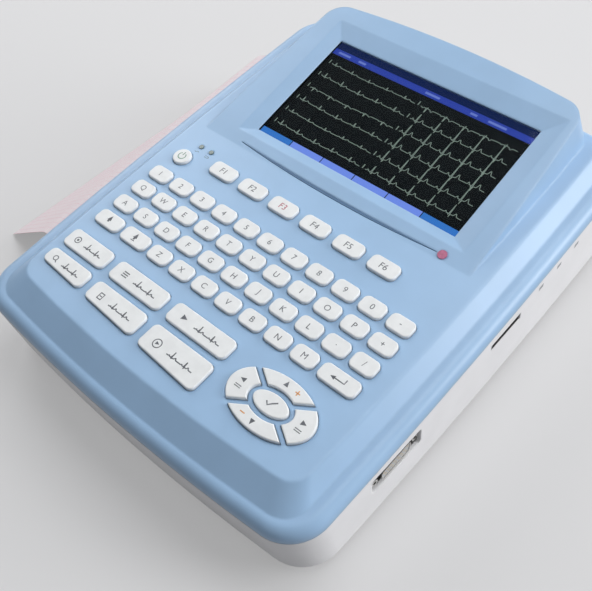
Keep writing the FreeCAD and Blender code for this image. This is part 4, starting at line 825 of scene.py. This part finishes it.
def chart_strip():
    """The strip of chart paper as a thin sheet; its ruling follows the length along the sheet."""
    steps_per_stretch = (4, 10, 3, 24, 40)
    steps = [i + np.arange(count) / count for i, count in enumerate(steps_per_stretch)]
    last = float(len(steps_per_stretch))
    across, along = np.meshgrid(np.linspace(0, 1, 43), np.append(np.concatenate(steps), last))
    points = paper_point(across, along)
    pace = np.linalg.norm(np.diff(points, axis=0), axis=-1)
    length = np.concatenate([np.zeros_like(across[:1]), np.cumsum(pace, axis=0)])
    uv = np.stack([PAPER_WIDTH * across, length], axis=-1)
    faces = grid_faces(*across.shape)[:, ::-1]
    strip = piece("paper_strip", points, faces, ruled_paper(), "drawer", uv)
    sheet = strip.modifiers.new("thickness", "SOLIDIFY")
    sheet.thickness = PAPER_SHEET
    sheet.offset = 0.0
    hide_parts("chart_paper")


# Sockets, rear panel and wall

def box_points(low, high):
    """Eight corners of a box."""
    ends = np.array([low, high])
    z, y, x = np.meshgrid([0, 1], [0, 1], [0, 1], indexing="ij")
    return np.stack([ends[x, 0], ends[y, 1], ends[z, 2]], axis=-1).reshape(-1, 3)


def box_faces():
    """Quads of a box whose eight corners count up along X, then Y, then Z."""
    return np.array([[0, 2, 3, 1], [4, 5, 7, 6], [0, 1, 5, 4], [2, 6, 7, 3], [0, 4, 6, 2], [1, 3, 7, 5]])


def facing_right(points, x, y, z):
    """Flat points about a middle, in a plane that faces to the right."""
    return np.stack([x + 0 * points[:, 0], y + points[:, 0], z + points[:, 1]], axis=-1)


def socket_face():
    """The plastic insert inside the D-shaped shell, with a brass ring around each contact."""
    mouth_depth = 0.00055
    half = 0.0117
    slim = half - 0.0014
    height = 0.0034
    shoulder = 0.6 * height
    corner = 0.001
    pitch = 0.00274
    row = 0.00142
    ring_radius = 0.00062
    ring_line = 0.00034
    y = middle("patient_socket")[1]
    z = middle("socket_posts")[2]
    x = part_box("patient_socket")[1][0] - mouth_depth + 2 * INK_LIFT
    points, faces = fan([(-slim, -height), (slim, -height), (half, shoulder), (half - corner, height),
                         (-half + corner, height), (-half, shoulder)])
    insert = facing_right(points, x, y, z)
    piece("socket_insert", insert, faces, socket_insert_plastic, "case")
    rings = []
    for count, level in ((8, row), (7, -row)):
        places = [(i - (count - 1) / 2) * pitch for i in range(count)]
        rings += [moved(ring(ring_radius, ring_line), place, level) for place in places]
    points, faces = merged(rings)
    contacts = facing_right(points, x + INK_LIFT, y, z)
    piece("socket_contacts", contacts, faces, brass, "case")


def inlet_blades():
    """Brass sleeves on the inlet's three blades, a hair larger than the moulded ones."""
    floor_depth = 0.0045
    tip_depth = 0.0059
    half_width = 0.00105
    half_height = 0.00205
    pitch = 0.007
    offset = 0.002
    x, _, z = middle("mains_inlet")
    low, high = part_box("mains_inlet")
    floor = low[1] + floor_depth
    tip = high[1] - tip_depth
    sleeves = []
    for blade_x, blade_z in ((x - pitch, z - offset), (x, z + offset), (x + pitch, z - offset)):
        near = (blade_x - half_width, floor, blade_z - half_height)
        far = (blade_x + half_width, tip, blade_z + half_height)
        sleeves.append((box_points(near, far), box_faces()))
    points, faces = merged(sleeves)
    piece("inlet_blades", points, faces, brass, "case")


def rocker_marks():
    """A stroke and a ring on the two halves of the rocker, each half a plane through the rocker's notch."""
    proud = 0.0005
    throw = math.radians(10)
    aside = 0.0027
    x, _, z = middle("rocker_frame")
    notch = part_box("rocker_frame")[1][1] + proud
    stroke = moved(bar(INK_LINE, 0.0022), 0, aside)
    zero = moved(ring(0.0010, FINE_LINE), 0, -aside)
    for name, (points, faces), lean in (("rocker_stroke", stroke, 2 * throw), ("rocker_ring", zero, 0.0)):
        depth = notch + INK_LIFT + math.sin(lean) * np.abs(points[:, 1])
        place = np.stack([x - points[:, 0], depth, z + points[:, 1] * math.cos(lean)], axis=-1)
        piece(name, place, faces, white_ink, "rocker")


def wall_marks():
    """Three faint printed marks on the bowed right wall, below the seam."""
    drop = 0.0062
    mark = bar(0.0044, 0.0030)
    points, faces = merged([moved(mark, y, 0) for y in (0.049, 0.068, 0.087)])
    y = points[:, 0]
    x = BODY_X + HALF_WIDTH - SIDE_BOW * (y / BOW_REACH) ** 2 + INK_LIFT
    z = SEAM + y * math.tan(TILT) - drop + points[:, 1]
    piece("wall_marks", np.stack([x, y, z], axis=-1), faces, wall_ink, "case")


screen_picture()
full_row_legends()
last_row_legends()
function_legends()
power_legend()
mode_legends()
pad_legends()
status_marks()
chart_strip()
socket_face()
inlet_blades()
rocker_marks()
wall_marks()


# Floor, light and camera

def studio_floor():
    """A wide floor just below the object."""
    reach = 4.0
    mesh = bpy.data.meshes.new("studio_floor")
    corners = [(-reach, -reach, -FLOOR_DROP), (reach, -reach, -FLOOR_DROP),
               (reach, reach, -FLOOR_DROP), (-reach, reach, -FLOOR_DROP)]
    mesh.from_pydata(corners, [], [(0, 1, 2, 3)])
    mesh.materials.append(floor_paint())
    floor = bpy.data.objects.new("studio_floor", mesh)
    bpy.context.scene.collection.objects.link(floor)


def studio_sky():
    """An even sky, brighter to the eye than as a light."""
    as_light = 0.20
    as_seen = 0.43
    sky = bpy.data.worlds.new("studio_sky")
    sky.use_nodes = True
    background = sky.node_tree.nodes["Background"]
    background.inputs["Color"].default_value = (0.97, 0.98, 1.0, 1)
    link(sky, between(sky, direct_sight(sky), as_light, as_seen), background.inputs["Strength"])
    bpy.context.scene.world = sky


def studio_lamps():
    """Soft round lamps that face the case: one above, one on each side and a weak one in front."""
    target = Vector((BODY_X, 0.0, 0.05))
    # Each lamp's direction from the case, distance, width and power in watts
    lamps = {"roof_lamp": ((0.11, 0.44, 0.89), 1.5, 1.2, 10.8),
             "right_lamp": ((0.74, 0.58, 0.35), 3.2, 1.9, 69.0),
             "left_lamp": ((-0.80, 0.34, 0.50), 1.6, 1.0, 9.4),
             "front_lamp": ((0.30, -0.85, 0.45), 1.6, 1.0, 0.8)}
    for name, (direction, distance, width, power) in lamps.items():
        light = bpy.data.lights.new(name, "AREA")
        light.shape = "DISK"
        light.size = width
        light.energy = power
        lamp = bpy.data.objects.new(name, light)
        aim = Vector(direction).normalized()
        lamp.location = target + aim * distance
        lamp.rotation_euler = aim.to_track_quat("Z", "Y").to_euler()
        bpy.context.scene.collection.objects.link(lamp)


def photo_camera():
    """The photograph's camera: its place and axes come from a fit to the key grid, the screen's corners and
    the base."""
    right = Vector((0.74197, 0.664274, -0.090667))
    up = Vector((-0.487429, 0.627337, 0.607339))
    back = Vector((0.460318, -0.406434, 0.789252))
    place = Vector((BODY_X + 0.2482, -0.23789, 0.43095))
    focal_pixels = 833.6
    picture_width = 592
    sensor = 36.0
    data = bpy.data.cameras.new("photo_camera")
    data.sensor_width = sensor
    data.lens = sensor * focal_pixels / picture_width
    data.clip_start = 0.01
    camera = bpy.data.objects.new("photo_camera", data)
    turn = Matrix((right, up, back)).transposed().to_4x4()
    camera.matrix_world = Matrix.Translation(place) @ turn
    bpy.context.scene.collection.objects.link(camera)
    bpy.context.scene.camera = camera


studio_floor()
studio_sky()
studio_lamps()
photo_camera()
bpy.context.scene.view_settings.view_transform = "Standard"

bpy.context.view_layer.update()
